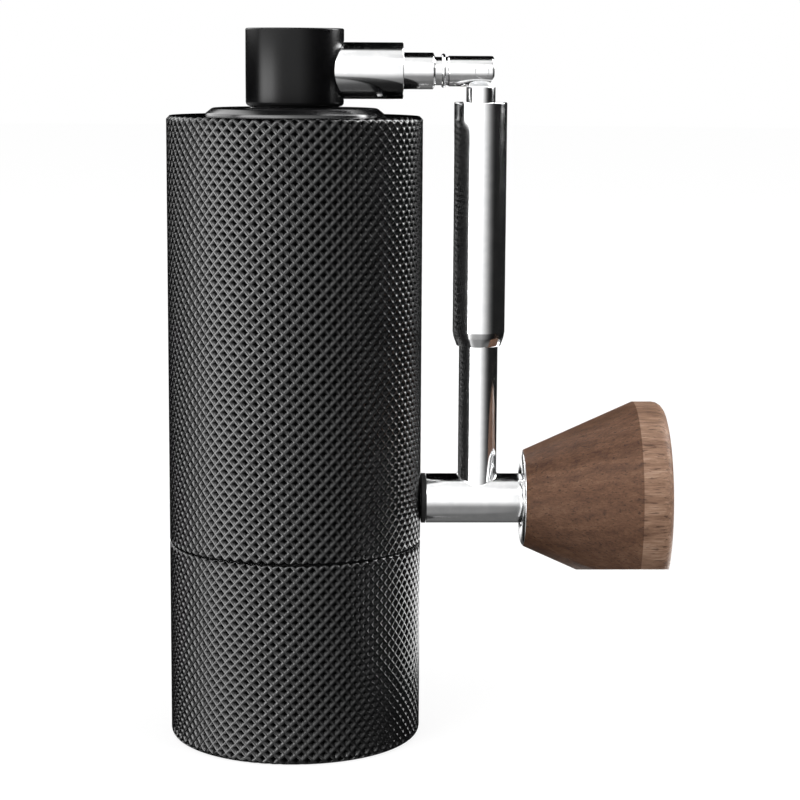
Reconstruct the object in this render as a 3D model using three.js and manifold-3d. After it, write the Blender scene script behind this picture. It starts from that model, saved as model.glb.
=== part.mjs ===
// Folding-crank conical-burr coffee grinder.
//
// Millimetres, +Z up.  The origin is on the body's axis, in the plane that the catch cup stands on.
// At rest the crank arm hangs folded beside the body, in the +X half of the XZ plane, with its
// rubber-capped cross tube lying against the grip and the wooden knob pointing away along +X.
//
// Every piece is a closed solid.  Turned pieces are revolved profiles, the burr teeth are twisted
// rings, and manifold-3d joins and cuts them.

import * as THREE from 'three';
import { mergeVertices } from 'three/addons/utils/BufferGeometryUtils.js';
import Module from 'manifold-3d';

const wasm = await Module();
wasm.setup();

// ---------------------------------------------------------------- driving dimensions

// clearances
const fitGap = 0.2; // round a piece that is pressed or clamped into another
const runGap = 0.3; // between pieces that slide, turn or lie face to face

// burr set
const ringBurrRadius = 19;
const ringBurrHeight = 20;
const ringBurrWall = 2.7; // behind the tooth roots at the outlet
const grindHeight = 12.2; // the finely toothed part of both burrs
const grindTaper = 4.6; // how much narrower the cone is at the top of that part
const burrToothCount = 30;
const burrToothDepth = 0.8;
const burrToothTwist = THREE.MathUtils.degToRad(20);
const burrSetting = 0.5; // radial space between the two sets of teeth
const augerHeight = 12.2;
const augerTipRadius = 8.6; // at the very top, where beans are caught
const augerFlightCount = 5;
const augerTwist = THREE.MathUtils.degToRad(75);
const augerCoreWall = 1.5;
const ringMouthWall = 2.1; // at the ring burr's upper edge
const breakerRibCount = 6;
const breakerRibDepth = 1.5;
const breakerTwist = THREE.MathUtils.degToRad(-24);

// chamber, shell and cup
const chamberWall = 1.8;
const shellWall = 2.1;
const ledgeWidth = 1.0; // step that the lower carrier is clamped against
const shellLength = 78.9;
const shellLipDepth = 2.5; // inward lip round the filling mouth
const mouthRadius = 16.9;
const rimChamfer = 0.6;
const seamChamfer = 0.25;
const collarLength = 8.2; // screws down into the catch cup
const cupHeight = 36.9;
const cupFloor = 2.5;
const cupFootRadius = 1.2;
const cupFilletRadius = 4;
const gasketWidth = 0.9;
const gasketThickness = 0.7;

// burr retaining ring
const retainerHeight = 3.2;
const retainerWidth = 2.5;
const retainerNotchCount = 4;
const retainerNotchWidth = 3;
const retainerNotchDepth = 1.2;

// drive shaft and bearings
const shaftRadius = 3.5;
const shaftFlat = 0.6; // cut from each side of the keyed length
const hexAcrossFlats = 6;
const hexLength = 14.6;
const raceWall = 0.9;
const ballRadius = 0.8;
const ballPlay = 0.08;
const bearingWidth = 4.8;
const shieldThickness = 0.4;
const carrierHubWall = 2.0;
const carrierLip = 0.9;
const carrierRingHeight = 4;
const carrierRingWidth = 1.6;
const carrierArmWidth = 3.6;
const carrierArmCount = 3;
const carrierArmInset = 0.4; // the arms are this much thinner than the ring, above and below
const carrierGusset = 1.4; // the lower arms widen by this at both ends
const lowerHubRise = 2.0; // the lower hub stands this far above the ring it hangs from
const circlipThickness = 0.7;
const circlipDepth = 0.5;
const circlipReach = 1.1; // stands out of the shaft by this
const circlipRise = 1.1;
const hexShoulder = 0.6; // the hexagon starts this far above the lid's boss

// adjustment below the burr
const adjustTravel = 1.5; // how far the burr comes down as the dial is turned back
const washerThickness = 0.6;
const springWire = 0.45;
const springTurns = 5;
const springPocketDepth = 11.6;
const clickPlateRadius = 9;
const clickPlateThickness = 0.7;
const clickCount = 12;
const clickCircle = 6.4;
const clickHoleRadius = 0.85;
const dialRadius = 12.5;
const dialHeight = 6;
const dialScallopCount = 15;
const dialScallopRadius = 1.1;
const dialScallopDepth = 0.5;
const dialBossWall = 3;
const dialRimWall = 2.4;
const dialHollow = 2.4;
const detentBallRadius = 1.0;
const shaftTail = 0.9; // the threaded end shows this much below the dial

// lid
const lidPlay = 0.4; // round the lid in the filling mouth
const lidRise = 1.4; // the flat top above the shell's rim
const lidTopRadius = 15.1;
const lidPlate = 2.3;
const lidPlugDepth = 5.3;
const lidPlugWall = 1.9;
const lidBossRadius = 6.6;
const lidBossDepth = 3;

// crank head
const hubRadius = 9;
const hubHeight = 14.1;
const hubEdge = 0.35;
const hubCoreWall = 1.2; // between the hexagonal socket and the ferrule's seat
const crankRise = 6.5; // crank axis above the hub's lower face
const ferruleRadius = 5.15;
const ferruleEnd = 19.8; // distance of the ferrule's face from the shaft axis
const spigotRadius = 3.36;
const spigotLength = 5.5; // from the ferrule's face to the groove
const spigotSeat = 11;
const grooveRadius = 2.6;
const grooveWidth = 2.6;
const detentRingRadius = 3.2;
const detentRingWidth = 0.7;
const detentRingPlace = 1.87; // its middle, from the inner side of the groove
const detentRingOpening = THREE.MathUtils.degToRad(40);
const hingeRodRadius = 2.76;
const hingeRodEnd = 2.3; // beyond the pin's centre
const hingePinRadius = 1.2;
const tongueThickness = 2.4;
const tongueRadius = 2.35;

// crank arm, measured down from the hinge pin while the arm is folded
const armLength = 79.5;
const neckRadius = 2.67;
const neckStart = 3.0;
const neckEnd = 10.6;
const rodRadius = 3.62;
const sleeveRadius = 4.87;
const sleeveStart = 5.6;
const sleeveLength = 44.9;
const sleeveTaperLength = 2.6;
const sleeveTaper = 0.75;
const sleeveKneeLength = 1.55; // the taper is steeper over this length at the very end
const sleeveKneeDepth = 0.2;
const sleeveBoreGap = 0.13;
const sleeveGrooveStart = 7.2;
const sleeveGrooveWidth = 1.3;
const sleeveGrooveDepth = 0.25;
const oRingStart = 27.2;
const oRingWidth = 1.3;
const oRingDepth = 0.8;

// cross tube and knob, measured outwards along the knob's axis from the arm's centre line
const crossTubeRadius = 4.66;
const crossTubeInner = 9.6;
const crossTubeOuter = 10.3;
const bumperThickness = 0.5;
const bumperPlugLength = 1.8;
const tubeBoreRadius = 2.3;
const headPocketRadius = 3.6;
const headPocketDepth = 5.1;
const screwRadius = 1.8;
const screwHeadRadius = 3.2;
const screwHeadHeight = 2.2;
const screwHexAcrossFlats = 2.5;
const bushLength = 3;
const bushWall = 0.9;
const bushFlange = 0.8;
const bushStep = 0.4; // the flange is this much smaller than the tube
const insertRadius = 3.9;
const insertLength = 15.6;
const screwGrip = 12.4; // how far the screw reaches into the insert
const collarFlangeRadius = 8.9;
const collarBulge = 1.0;
const collarSpigotRadius = 7;
const collarSpigotLength = 4.5;
const collarRecessRadius = 5.3;
const knobNeckRadius = 9.1;
const knobRadius = 18.2;
const knobStart = 9.5;
const knobConeLength = 19.8;
const knobBandLength = 5.5;
const knobDome = 0.9;
const knobEdge = 2.1;
const knobCrownRadius = 10.9; // where the end's crown steepens towards its edge
const knobCrownRise = 0.55;
const knobFlat = 13.5; // distance of the planed flat from the knob's axis
const knobTurn = THREE.MathUtils.degToRad(-13); // of the knob at rest, about its axis

// ---------------------------------------------------------------- derived places

const burrBore = ringBurrRadius + runGap;
const chamberRadius = burrBore + chamberWall;
const shellBore = chamberRadius + runGap;
const bodyRadius = shellBore + shellWall;
const hopperRadius = burrBore - ledgeWidth;

const shellBottom = cupHeight + runGap;
const shellTop = shellBottom + shellLength;
const chamberBottom = shellBottom - collarLength;
const chamberTop = shellTop - shellLipDepth - runGap;
const retainerBottom = chamberBottom + runGap;
const ringBurrBottom = retainerBottom + retainerHeight + runGap;
const ringBurrTop = ringBurrBottom + ringBurrHeight;
const lowerRingBottom = ringBurrTop + runGap;
const lowerRingTop = lowerRingBottom + carrierRingHeight;
const ledgeHeight = lowerRingTop + runGap;

const innerRaceBore = shaftRadius + fitGap;
const innerRaceRadius = innerRaceBore + raceWall;
const ballCircle = innerRaceRadius + ballPlay + ballRadius;
const outerRaceBore = ballCircle + ballRadius + ballPlay;
const bearingRadius = outerRaceBore + raceWall;
const bearingSeatRadius = bearingRadius + fitGap;
const carrierHubRadius = bearingSeatRadius + carrierHubWall;
const shieldBore = innerRaceRadius + runGap;

const lowerHubBottom = lowerRingTop + lowerHubRise;
const lowerBearingBottom = lowerHubBottom + washerThickness;
const lowerSeatTop = lowerBearingBottom + bearingWidth + fitGap;
const springTop = lowerBearingBottom - fitGap - washerThickness - fitGap;
const lidBottom = shellTop - lidPlugDepth;
const lidBossBottom = shellTop + lidRise - lidPlate - lidBossDepth;
const upperRingTop = lidBottom - 2;
const upperRingBottom = upperRingTop - carrierRingHeight;
const upperBearingBottom = upperRingBottom + carrierLip + fitGap;
const upperBearingTop = upperBearingBottom + bearingWidth;

const coneRadius = ringBurrRadius - ringBurrWall - burrToothDepth - burrSetting;
const innerBurrBottom = ringBurrBottom - fitGap;
const augerBottom = innerBurrBottom + grindHeight;
const innerBurrTop = augerBottom + augerHeight;
const springRadius = shaftRadius + runGap + 2 * springWire;
const springPocketRadius = springRadius + springWire + runGap;
const augerCoreRadius = springPocketRadius + augerCoreWall;
const springPocketFloor = innerBurrTop - springPocketDepth;
const clickPlateBottom = innerBurrBottom - fitGap - clickPlateThickness;
const dialTop = clickPlateBottom - runGap;
const dialBottom = dialTop - dialHeight;

const hubBottom = shellTop + lidRise + runGap;
const crankHeight = hubBottom + crankRise;
const hexTop = lidBossBottom + hexLength;
const hexCircle = hexAcrossFlats / Math.sqrt(3);
const hexSocketCircle = hexCircle + runGap;
const ferruleStart = hexSocketCircle + hubCoreWall;

const bumperStart = bodyRadius + runGap;
const armOffset = bumperStart + bumperThickness + fitGap + crossTubeInner;
const sleeveBore = rodRadius + sleeveBoreGap;
const slotWidth = tongueThickness + runGap;
const knobHeight = crankHeight - armLength;

// facets round a full turn
const largeSides = 36; // cup, shell, chamber, knob
const mediumSides = 24; // carriers, crank head, arm
const smallSides = 16; // bearings, bushes, screws

// ---------------------------------------------------------------- finishes

function finish(colour, roughness, metalness) {
  return new THREE.MeshStandardMaterial({ color: colour, roughness, metalness });
}

const blackAnodised = () => finish(0x17171a, 0.42, 0.6);
const blackSatin = () => finish(0x1b1b1d, 0.38, 0.2);
const bareAluminium = () => finish(0xb9bcc0, 0.35, 1);
const polishedSteel = () => finish(0xdfe1e4, 0.08, 1);
const brushedSteel = () => finish(0xaeb1b5, 0.3, 1);
const burrSteel = () => finish(0x9da1a6, 0.25, 1);
const blackRubber = () => finish(0x101011, 0.8, 0);
const brass = () => finish(0xb08d4a, 0.3, 1);
const walnut = () => finish(0x7d5f50, 0.6, 0);

// ---------------------------------------------------------------- building blocks

// A closed three.js geometry as a solid.  Its shared vertices are merged and the collapsed
// triangles round a pole are left out.
function solid(geometry) {
  geometry.deleteAttribute('normal');
  geometry.deleteAttribute('uv');
  const merged = mergeVertices(geometry, 1e-4);
  const corners = merged.index.array;
  const triangles = [];
  for (let i = 0; i < corners.length; i += 3) {
    const [a, b, c] = corners.slice(i, i + 3);
    if (a !== b && b !== c && c !== a) {
      triangles.push(a, b, c);
    }
  }
  return new wasm.Manifold(new wasm.Mesh({
    numProp: 3,
    vertProperties: new Float32Array(merged.attributes.position.array),
    triVerts: new Uint32Array(triangles),
  }));
}

// A named mesh made of one solid.
function piece(name, body, material) {
  const { vertProperties, triVerts } = body.getMesh();
  const geometry = new THREE.BufferGeometry();
  geometry.setAttribute('position', new THREE.BufferAttribute(vertProperties, 3));
  geometry.setIndex(new THREE.BufferAttribute(triVerts, 1));
  geometry.computeVertexNormals();
  const mesh = new THREE.Mesh(geometry, material);
  mesh.name = name;
  return mesh;
}

// A lathe profile of [radius, height] points, revolved about Z.  A profile that doesn't start and
// end on the axis is closed into a ring.
function latheGeometry(profile, segments) {
  const points = profile.map(([radius, height]) => new THREE.Vector2(radius, height));
  const last = points.length - 1;
  if (points[0].x > 0 || points[last].x > 0) {
    points.push(points[0].clone());
  }
  return new THREE.LatheGeometry(points, segments).rotateX(Math.PI / 2);
}

function revolved(profile, segments = mediumSides) {
  return solid(latheGeometry(profile, segments));
}

// The same, revolved about X: the profile's second number is the distance along X.
function revolvedAlongX(profile, segments = mediumSides) {
  return solid(latheGeometry(profile, segments).rotateY(Math.PI / 2));
}

// A plain ring or, with no inner radius, a plain disc.
function ring(inner, outer, bottom, top, segments = mediumSides) {
  return revolved([[inner, bottom], [outer, bottom], [outer, top], [inner, top]], segments);
}

function rod(radius, bottom, top, segments = smallSides) {
  return ring(0, radius, bottom, top, segments);
}

function rodAlongX(radius, start, end, segments = mediumSides) {
  return revolvedAlongX([[0, start], [radius, start], [radius, end], [0, end]], segments);
}

function box(sizeX, sizeY, sizeZ, x, y, z) {
  return solid(new THREE.BoxGeometry(sizeX, sizeY, sizeZ).translate(x, y, z));
}

// A flat outline of [x, y] points, extruded upwards.
function prism(outline, bottom, height) {
  const shape = new THREE.Shape(outline.map(([x, y]) => new THREE.Vector2(x, y)));
  const geometry = new THREE.ExtrudeGeometry(shape, { depth: height, bevelEnabled: false });
  return solid(geometry.translate(0, 0, bottom));
}

function regularPolygon(sides, circle, turn = 0) {
  const outline = [];
  for (let i = 0; i < sides; i += 1) {
    const angle = turn + (2 * Math.PI * i) / sides;
    outline.push([circle * Math.cos(angle), circle * Math.sin(angle)]);
  }
  return outline;
}

function turned(body, degrees) {
  return body.rotate([0, 0, degrees]);
}

// A solid with one thing repeated round the axis, joined on or cut away.
function repeatedRound(body, count, operation, tool) {
  let result = body;
  for (let i = 0; i < count; i += 1) {
    result = result[operation](turned(tool, (360 * i) / count));
  }
  return result;
}

// A quarter arc of [radius, height] points round a corner.
function arc(centreRadius, centreHeight, size, fromDegrees, toDegrees, steps = 3) {
  const points = [];
  for (let i = 0; i <= steps; i += 1) {
    const angle = THREE.MathUtils.degToRad(fromDegrees + ((toDegrees - fromDegrees) * i) / steps);
    points.push([centreRadius + size * Math.cos(angle), centreHeight + size * Math.sin(angle)]);
  }
  return points;
}

// A tapered, twisted column of teeth.  radiusAt gives the radius for a share of one tooth's width
// and a share of the column's height; the section turns by twist from bottom to top.
function toothedColumn({ teeth, samples, levels, bottom, height, twist, radiusAt }) {
  const around = teeth * samples;
  const geometry = new THREE.CylinderGeometry(1, 1, height, around, levels);
  geometry.rotateX(Math.PI / 2).rotateZ(Math.PI / 2).translate(0, 0, bottom + height / 2);
  const position = geometry.attributes.position;
  for (let i = 0; i < position.count; i += 1) {
    const x = position.getX(i);
    const y = position.getY(i);
    const z = position.getZ(i);
    if (Math.hypot(x, y) < 0.5) {
      continue;
    }
    const rise = THREE.MathUtils.clamp((z - bottom) / height, 0, 1);
    const step = Math.round((Math.atan2(y, x) / (2 * Math.PI)) * around);
    const share = (((step % samples) + samples) % samples) / samples;
    const angle = (2 * Math.PI * step) / around + twist * rise;
    const radius = radiusAt(share, rise);
    position.setXYZ(i, radius * Math.cos(angle), radius * Math.sin(angle), z);
  }
  return solid(geometry);
}

// A shaft or a bore with two parallel flats.
function doubleFlat(radius, flat, bottom, top) {
  const width = 2 * (radius - flat);
  const height = top - bottom;
  return rod(radius, bottom, top).intersect(
    box(3 * radius, width, height + 2, 0, 0, (bottom + top) / 2),
  );
}

// ---------------------------------------------------------------- cup, shell and chamber

function catchCup() {
  const stepRadius = chamberRadius + runGap + gasketWidth + runGap;
  const body = revolved([
    [0, 0],
    [bodyRadius - cupFootRadius, 0],
    ...arc(bodyRadius - cupFootRadius, cupFootRadius, cupFootRadius, -60, 0, 2),
    [bodyRadius, cupHeight - seamChamfer],
    [bodyRadius - seamChamfer, cupHeight],
    [stepRadius, cupHeight],
    [stepRadius, cupHeight - gasketThickness],
    [shellBore, cupHeight - gasketThickness],
    ...arc(shellBore - cupFilletRadius, cupFloor + cupFilletRadius, cupFilletRadius, 0, -90),
    [0, cupFloor],
  ], largeSides);
  return piece('catch_cup', body, blackAnodised());
}

function cupGasket() {
  const inner = chamberRadius + runGap;
  const bottom = cupHeight - gasketThickness + runGap;
  return piece('cup_gasket', ring(inner, inner + gasketWidth, bottom, cupHeight, largeSides), blackRubber());
}

function outerShell() {
  const body = revolved([
    [shellBore, shellBottom],
    [bodyRadius - seamChamfer, shellBottom],
    [bodyRadius, shellBottom + seamChamfer],
    [bodyRadius, shellTop - rimChamfer],
    [bodyRadius - rimChamfer, shellTop],
    [mouthRadius + seamChamfer, shellTop],
    [mouthRadius, shellTop - seamChamfer],
    [mouthRadius, shellTop - shellLipDepth],
    [shellBore, shellTop - shellLipDepth],
  ], largeSides);
  return piece('outer_shell', body, blackAnodised());
}

function chamber() {
  const body = revolved([
    [burrBore, chamberBottom],
    [chamberRadius - seamChamfer, chamberBottom],
    [chamberRadius, chamberBottom + seamChamfer],
    [chamberRadius, chamberTop],
    [hopperRadius + ledgeWidth / 2, chamberTop],
    [hopperRadius + ledgeWidth / 2, upperRingBottom - runGap],
    [hopperRadius, upperRingBottom - runGap],
    [hopperRadius, ledgeHeight],
    [burrBore, ledgeHeight],
  ], largeSides);
  return piece('chamber', body, bareAluminium());
}

// ---------------------------------------------------------------- bearings and their carriers

// Three arms between a hub and a ring, cut from one outline of [radius, height] points.
function carrierArms(outline) {
  const shape = new THREE.Shape(outline.map(([radius, height]) => new THREE.Vector2(radius, height)));
  const geometry = new THREE.ExtrudeGeometry(shape, { depth: carrierArmWidth, bevelEnabled: false });
  geometry.translate(0, 0, -carrierArmWidth / 2).rotateX(Math.PI / 2);
  return turned(solid(geometry), 30);
}

function lowerCarrier() {
  const ringRadius = burrBore - runGap;
  const ringBore = ringRadius - carrierRingWidth;
  const rim = ring(ringBore, ringRadius, lowerRingBottom, lowerRingTop);
  const hub = revolved([
    [bearingSeatRadius, lowerHubBottom],
    [carrierHubRadius, lowerHubBottom],
    [carrierHubRadius, lowerSeatTop + carrierLip - seamChamfer],
    [carrierHubRadius - seamChamfer, lowerSeatTop + carrierLip],
    [outerRaceBore, lowerSeatTop + carrierLip],
    [outerRaceBore, lowerSeatTop],
    [bearingSeatRadius, lowerSeatTop],
  ]);
  const rootRadius = carrierHubRadius - carrierHubWall / 2;
  const footRadius = Math.min(hopperRadius - runGap, ringRadius - carrierRingWidth / 3);
  const arm = carrierArms([
    [rootRadius, lowerHubBottom + carrierArmInset],
    [ringBore, lowerRingBottom + carrierArmInset],
    [footRadius, lowerRingBottom + carrierArmInset],
    [footRadius, lowerRingTop + carrierGusset],
    [carrierHubRadius + carrierGusset, lowerSeatTop],
    [rootRadius, lowerSeatTop],
  ]);
  const body = repeatedRound(rim.add(hub), carrierArmCount, 'add', arm);
  return piece('lower_bearing_carrier', body, bareAluminium());
}

function upperCarrier() {
  const ringRadius = hopperRadius + ledgeWidth / 2 - fitGap;
  const ringBore = ringRadius - carrierRingWidth;
  const rim = ring(ringBore, ringRadius, upperRingBottom, upperRingTop);
  const hub = revolved([
    [outerRaceBore, upperRingBottom],
    [carrierHubRadius, upperRingBottom],
    [carrierHubRadius, upperBearingTop - seamChamfer],
    [carrierHubRadius - seamChamfer, upperBearingTop],
    [bearingSeatRadius, upperBearingTop],
    [bearingSeatRadius, upperRingBottom + carrierLip],
    [outerRaceBore, upperRingBottom + carrierLip],
  ]);
  const rootRadius = carrierHubRadius - carrierHubWall / 2;
  const arm = carrierArms([
    [rootRadius, upperRingBottom + carrierArmInset],
    [ringRadius - carrierRingWidth / 2, upperRingBottom + carrierArmInset],
    [ringRadius - carrierRingWidth / 2, upperRingTop - carrierArmInset],
    [rootRadius, upperRingTop - carrierArmInset],
  ]);
  const body = repeatedRound(rim.add(hub), carrierArmCount, 'add', arm);
  return piece('upper_bearing_carrier', body, bareAluminium());
}

function outerRace(name, bottom) {
  const top = bottom + bearingWidth;
  const body = revolved([
    [shieldBore, bottom],
    [bearingRadius, bottom],
    [bearingRadius, top],
    [shieldBore, top],
    [shieldBore, top - shieldThickness],
    [outerRaceBore, top - shieldThickness],
    [outerRaceBore, bottom + shieldThickness],
    [shieldBore, bottom + shieldThickness],
  ], smallSides);
  return piece(name, body, polishedSteel());
}

function innerRace(name, bottom) {
  const body = ring(innerRaceBore, innerRaceRadius, bottom, bottom + bearingWidth, smallSides);
  return piece(name, body, polishedSteel());
}

// ---------------------------------------------------------------- burrs

// One sawtooth: a short steep front and a long sloping back.
function sawtooth(share) {
  return share === 0 ? 0 : 1 - Math.max(0, share - 0.25) / 0.75;
}

function coneAt(rise) {
  return coneRadius - grindTaper * rise;
}

// The inner burr: a cone of fine helical teeth that carries a five-flight auger.  It is keyed to
// the shaft by two flats, and a pocket from above takes the spring that holds it on the dial.
function innerBurr() {
  const cone = toothedColumn({
    teeth: burrToothCount,
    samples: 2,
    levels: 3,
    bottom: innerBurrBottom,
    height: grindHeight,
    twist: burrToothTwist,
    radiusAt: (share, rise) => coneAt(rise) - (share === 0 ? burrToothDepth : 0),
  });
  const flightSamples = 6;
  const flightHollow = 1.6;
  const overlap = 0.6;
  const auger = toothedColumn({
    teeth: augerFlightCount,
    samples: flightSamples,
    levels: 5,
    bottom: augerBottom - overlap,
    height: augerHeight + overlap,
    twist: augerTwist,
    radiusAt: (share, rise) => {
      const tip = THREE.MathUtils.lerp(coneAt(1) - burrToothDepth / 2, augerTipRadius, rise);
      return augerCoreRadius + (tip - augerCoreRadius) * sawtooth(share) ** flightHollow;
    },
  });
  const bore = doubleFlat(
    shaftRadius + fitGap, shaftFlat, innerBurrBottom - 1, springPocketFloor + 1,
  );
  const pocket = rod(springPocketRadius, springPocketFloor, innerBurrTop + 1);
  return piece('inner_burr', cone.add(auger).subtract(bore).subtract(pocket), burrSteel());
}

// The ring burr: fine teeth facing the cone and, above them, a flared mouth with breaker ribs.
function ringBurr() {
  const blank = revolved([
    [0, ringBurrBottom],
    [ringBurrRadius - seamChamfer, ringBurrBottom],
    [ringBurrRadius, ringBurrBottom + seamChamfer],
    [ringBurrRadius, ringBurrTop - seamChamfer],
    [ringBurrRadius - seamChamfer, ringBurrTop],
    [0, ringBurrTop],
  ], largeSides);
  const over = 0.4;
  const toothedHeight = grindHeight + over;
  const slope = grindTaper / grindHeight;
  const outletRadius = coneRadius + burrSetting + slope * (innerBurrBottom - ringBurrBottom + over);
  const teeth = toothedColumn({
    teeth: burrToothCount,
    samples: 2,
    levels: 3,
    bottom: ringBurrBottom - over,
    height: toothedHeight,
    twist: -burrToothTwist,
    radiusAt: (share, rise) => {
      return outletRadius - slope * toothedHeight * rise + (share === 0 ? burrToothDepth : 0);
    },
  });
  const throatRadius = outletRadius - slope * toothedHeight;
  const mouthBottom = ringBurrBottom + grindHeight - over;
  const mouthHeight = ringBurrTop + over - mouthBottom;
  const mouth = toothedColumn({
    teeth: breakerRibCount,
    samples: 5,
    levels: 3,
    bottom: mouthBottom,
    height: mouthHeight,
    twist: breakerTwist,
    radiusAt: (share, rise) => {
      const outer = THREE.MathUtils.lerp(throatRadius, ringBurrRadius - ringMouthWall, rise);
      return outer - breakerRibDepth * Math.sqrt(rise) * (1 - sawtooth(share));
    },
  });
  return piece('ring_burr', blank.subtract(teeth).subtract(mouth), burrSteel());
}

function burrRetainingRing() {
  const outer = burrBore - runGap;
  const inner = outer - retainerWidth;
  const plain = ring(inner, outer, retainerBottom, retainerBottom + retainerHeight);
  const notch = box(
    2 * retainerNotchDepth,
    retainerNotchWidth,
    retainerHeight,
    inner,
    0,
    retainerBottom,
  );
  const body = repeatedRound(plain, retainerNotchCount, 'subtract', notch);
  return piece('burr_retaining_ring', body, brushedSteel());
}

// ---------------------------------------------------------------- shaft and grind adjustment

// The shaft: a hexagonal head for the crank, a round bearing length, two flats that turn the
// burr over its whole travel, and a round end that the dial screws up from.
function driveShaft() {
  const tailBottom = dialBottom - shaftTail;
  const keyBottom = clickPlateBottom - adjustTravel - fitGap;
  const keyTop = springTop;
  const hexStart = lidBossBottom + hexShoulder;
  const chamfer = 0.5;
  const lap = 0.1;
  const hexagon = regularPolygon(6, hexCircle, Math.PI / 6);
  const head = prism(hexagon, hexStart - lap, hexTop - hexStart + lap)
    .intersect(revolved([
      [0, hexStart - 1],
      [shaftRadius, hexStart - 1],
      [shaftRadius, hexTop - chamfer],
      [shaftRadius - 2 * chamfer, hexTop],
      [0, hexTop],
    ], smallSides));
  const tail = revolved([
    [0, tailBottom],
    [shaftRadius - chamfer, tailBottom],
    [shaftRadius, tailBottom + chamfer],
    [shaftRadius, keyBottom + lap],
    [0, keyBottom + lap],
  ], smallSides);
  const grooveBottom = upperBearingTop + circlipRise - circlipThickness - fitGap;
  const grooveTop = grooveBottom + circlipThickness + 2 * fitGap;
  const upper = revolved([
    [0, keyTop - lap],
    [shaftRadius, keyTop - lap],
    [shaftRadius, grooveBottom],
    [shaftRadius - circlipDepth, grooveBottom],
    [shaftRadius - circlipDepth, grooveTop],
    [shaftRadius, grooveTop],
    [shaftRadius, hexStart],
    [0, hexStart],
  ], smallSides);
  const body = doubleFlat(shaftRadius, shaftFlat, keyBottom, keyTop).add(tail).add(upper).add(head);
  return piece('drive_shaft', body, brushedSteel());
}

// An open ring, cut through by a wedge-shaped gap on its +X side.
function openRing(inner, outer, bottom, top, opening) {
  const reach = 2 * outer;
  const half = Math.tan(opening / 2) * reach;
  const wedge = prism([[0, 0], [reach, -half], [reach, half]], bottom - 1, top - bottom + 2);
  return ring(inner, outer, bottom, top, smallSides).subtract(wedge);
}

function shaftCirclip() {
  const bottom = upperBearingTop + circlipRise - circlipThickness;
  const inner = shaftRadius - circlipDepth + fitGap;
  const outer = shaftRadius + circlipReach;
  const body = openRing(inner, outer, bottom, bottom + circlipThickness, Math.PI / 3);
  return piece('shaft_circlip', body, brushedSteel());
}

function springWasher() {
  const top = lowerBearingBottom - fitGap;
  const outer = springRadius + springWire;
  const body = ring(innerRaceBore, outer, top - washerThickness, top, smallSides);
  return piece('spring_washer', body, brushedSteel());
}

class Helix extends THREE.Curve {
  constructor(radius, turns, bottom, top) {
    super();
    Object.assign(this, { radius, turns, bottom, top });
  }

  getPoint(share, target = new THREE.Vector3()) {
    const angle = 2 * Math.PI * this.turns * share;
    return target.set(
      this.radius * Math.cos(angle),
      this.radius * Math.sin(angle),
      THREE.MathUtils.lerp(this.bottom, this.top, share),
    );
  }
}

function burrSpring() {
  const section = new THREE.Shape(
    regularPolygon(6, springWire).map(([x, y]) => new THREE.Vector2(x, y)),
  );
  const path = new Helix(
    springRadius,
    springTurns,
    springPocketFloor + fitGap + springWire,
    springTop - springWire,
  );
  const geometry = new THREE.ExtrudeGeometry(section, {
    steps: 12 * springTurns,
    extrudePath: path,
    bevelEnabled: false,
  });
  return piece('burr_spring', solid(geometry), polishedSteel());
}

function clickPlate() {
  const top = clickPlateBottom + clickPlateThickness;
  const plain = ring(0, clickPlateRadius, clickPlateBottom, top, mediumSides);
  const bore = doubleFlat(shaftRadius + fitGap, shaftFlat, clickPlateBottom - 1, top + 1);
  const hole = rod(clickHoleRadius, clickPlateBottom - 1, top + 1, 6).translate([clickCircle, 0, 0]);
  const body = repeatedRound(plain.subtract(bore), clickCount, 'subtract', hole);
  return piece('click_plate', body, brushedSteel());
}

// The dial: a scalloped nut on the shaft's threaded end, hollowed from below.
function grindDial() {
  const bore = shaftRadius + fitGap;
  const bossRadius = bore + dialBossWall;
  const edge = 0.6;
  const plain = revolved([
    [bore, dialBottom],
    [bossRadius, dialBottom],
    [bossRadius, dialBottom + dialHollow],
    [dialRadius - dialRimWall, dialBottom + dialHollow],
    [dialRadius - dialRimWall, dialBottom],
    [dialRadius - edge, dialBottom],
    [dialRadius, dialBottom + edge],
    [dialRadius, dialTop - edge],
    [dialRadius - edge, dialTop],
    [bore, dialTop],
  ], mediumSides);
  const scallop = rod(dialScallopRadius, dialBottom - 1, dialTop + 1, 6)
    .translate([dialRadius + dialScallopRadius - dialScallopDepth, 0, 0]);
  const pocketDepth = 2 * detentBallRadius + fitGap;
  const pocket = rod(detentBallRadius + fitGap, dialTop - pocketDepth, dialTop + 1, 10)
    .translate([clickCircle, 0, 0]);
  const scalloped = repeatedRound(plain, dialScallopCount, 'subtract', scallop);
  return piece('grind_dial', repeatedRound(scalloped, 2, 'subtract', pocket), blackSatin());
}

function detentBall(name, side) {
  const geometry = new THREE.IcosahedronGeometry(detentBallRadius, 1);
  geometry.translate(side * clickCircle, 0, dialTop - detentBallRadius);
  return piece(name, solid(geometry), polishedSteel());
}

// ---------------------------------------------------------------- lid

function lid() {
  const radius = mouthRadius - lidPlay;
  const top = shellTop + lidRise;
  const plateBottom = top - lidPlate;
  const bore = shaftRadius + runGap;
  const body = revolved([
    [bore, lidBossBottom],
    [lidBossRadius, lidBossBottom],
    [lidBossRadius, plateBottom],
    [radius - lidPlugWall, plateBottom],
    [radius - lidPlugWall, lidBottom],
    [radius - seamChamfer, lidBottom],
    [radius, lidBottom + seamChamfer],
    [radius, shellTop],
    [lidTopRadius, top],
    [bore, top],
  ], largeSides);
  return piece('lid', body, blackSatin());
}

// ---------------------------------------------------------------- crank head

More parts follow.
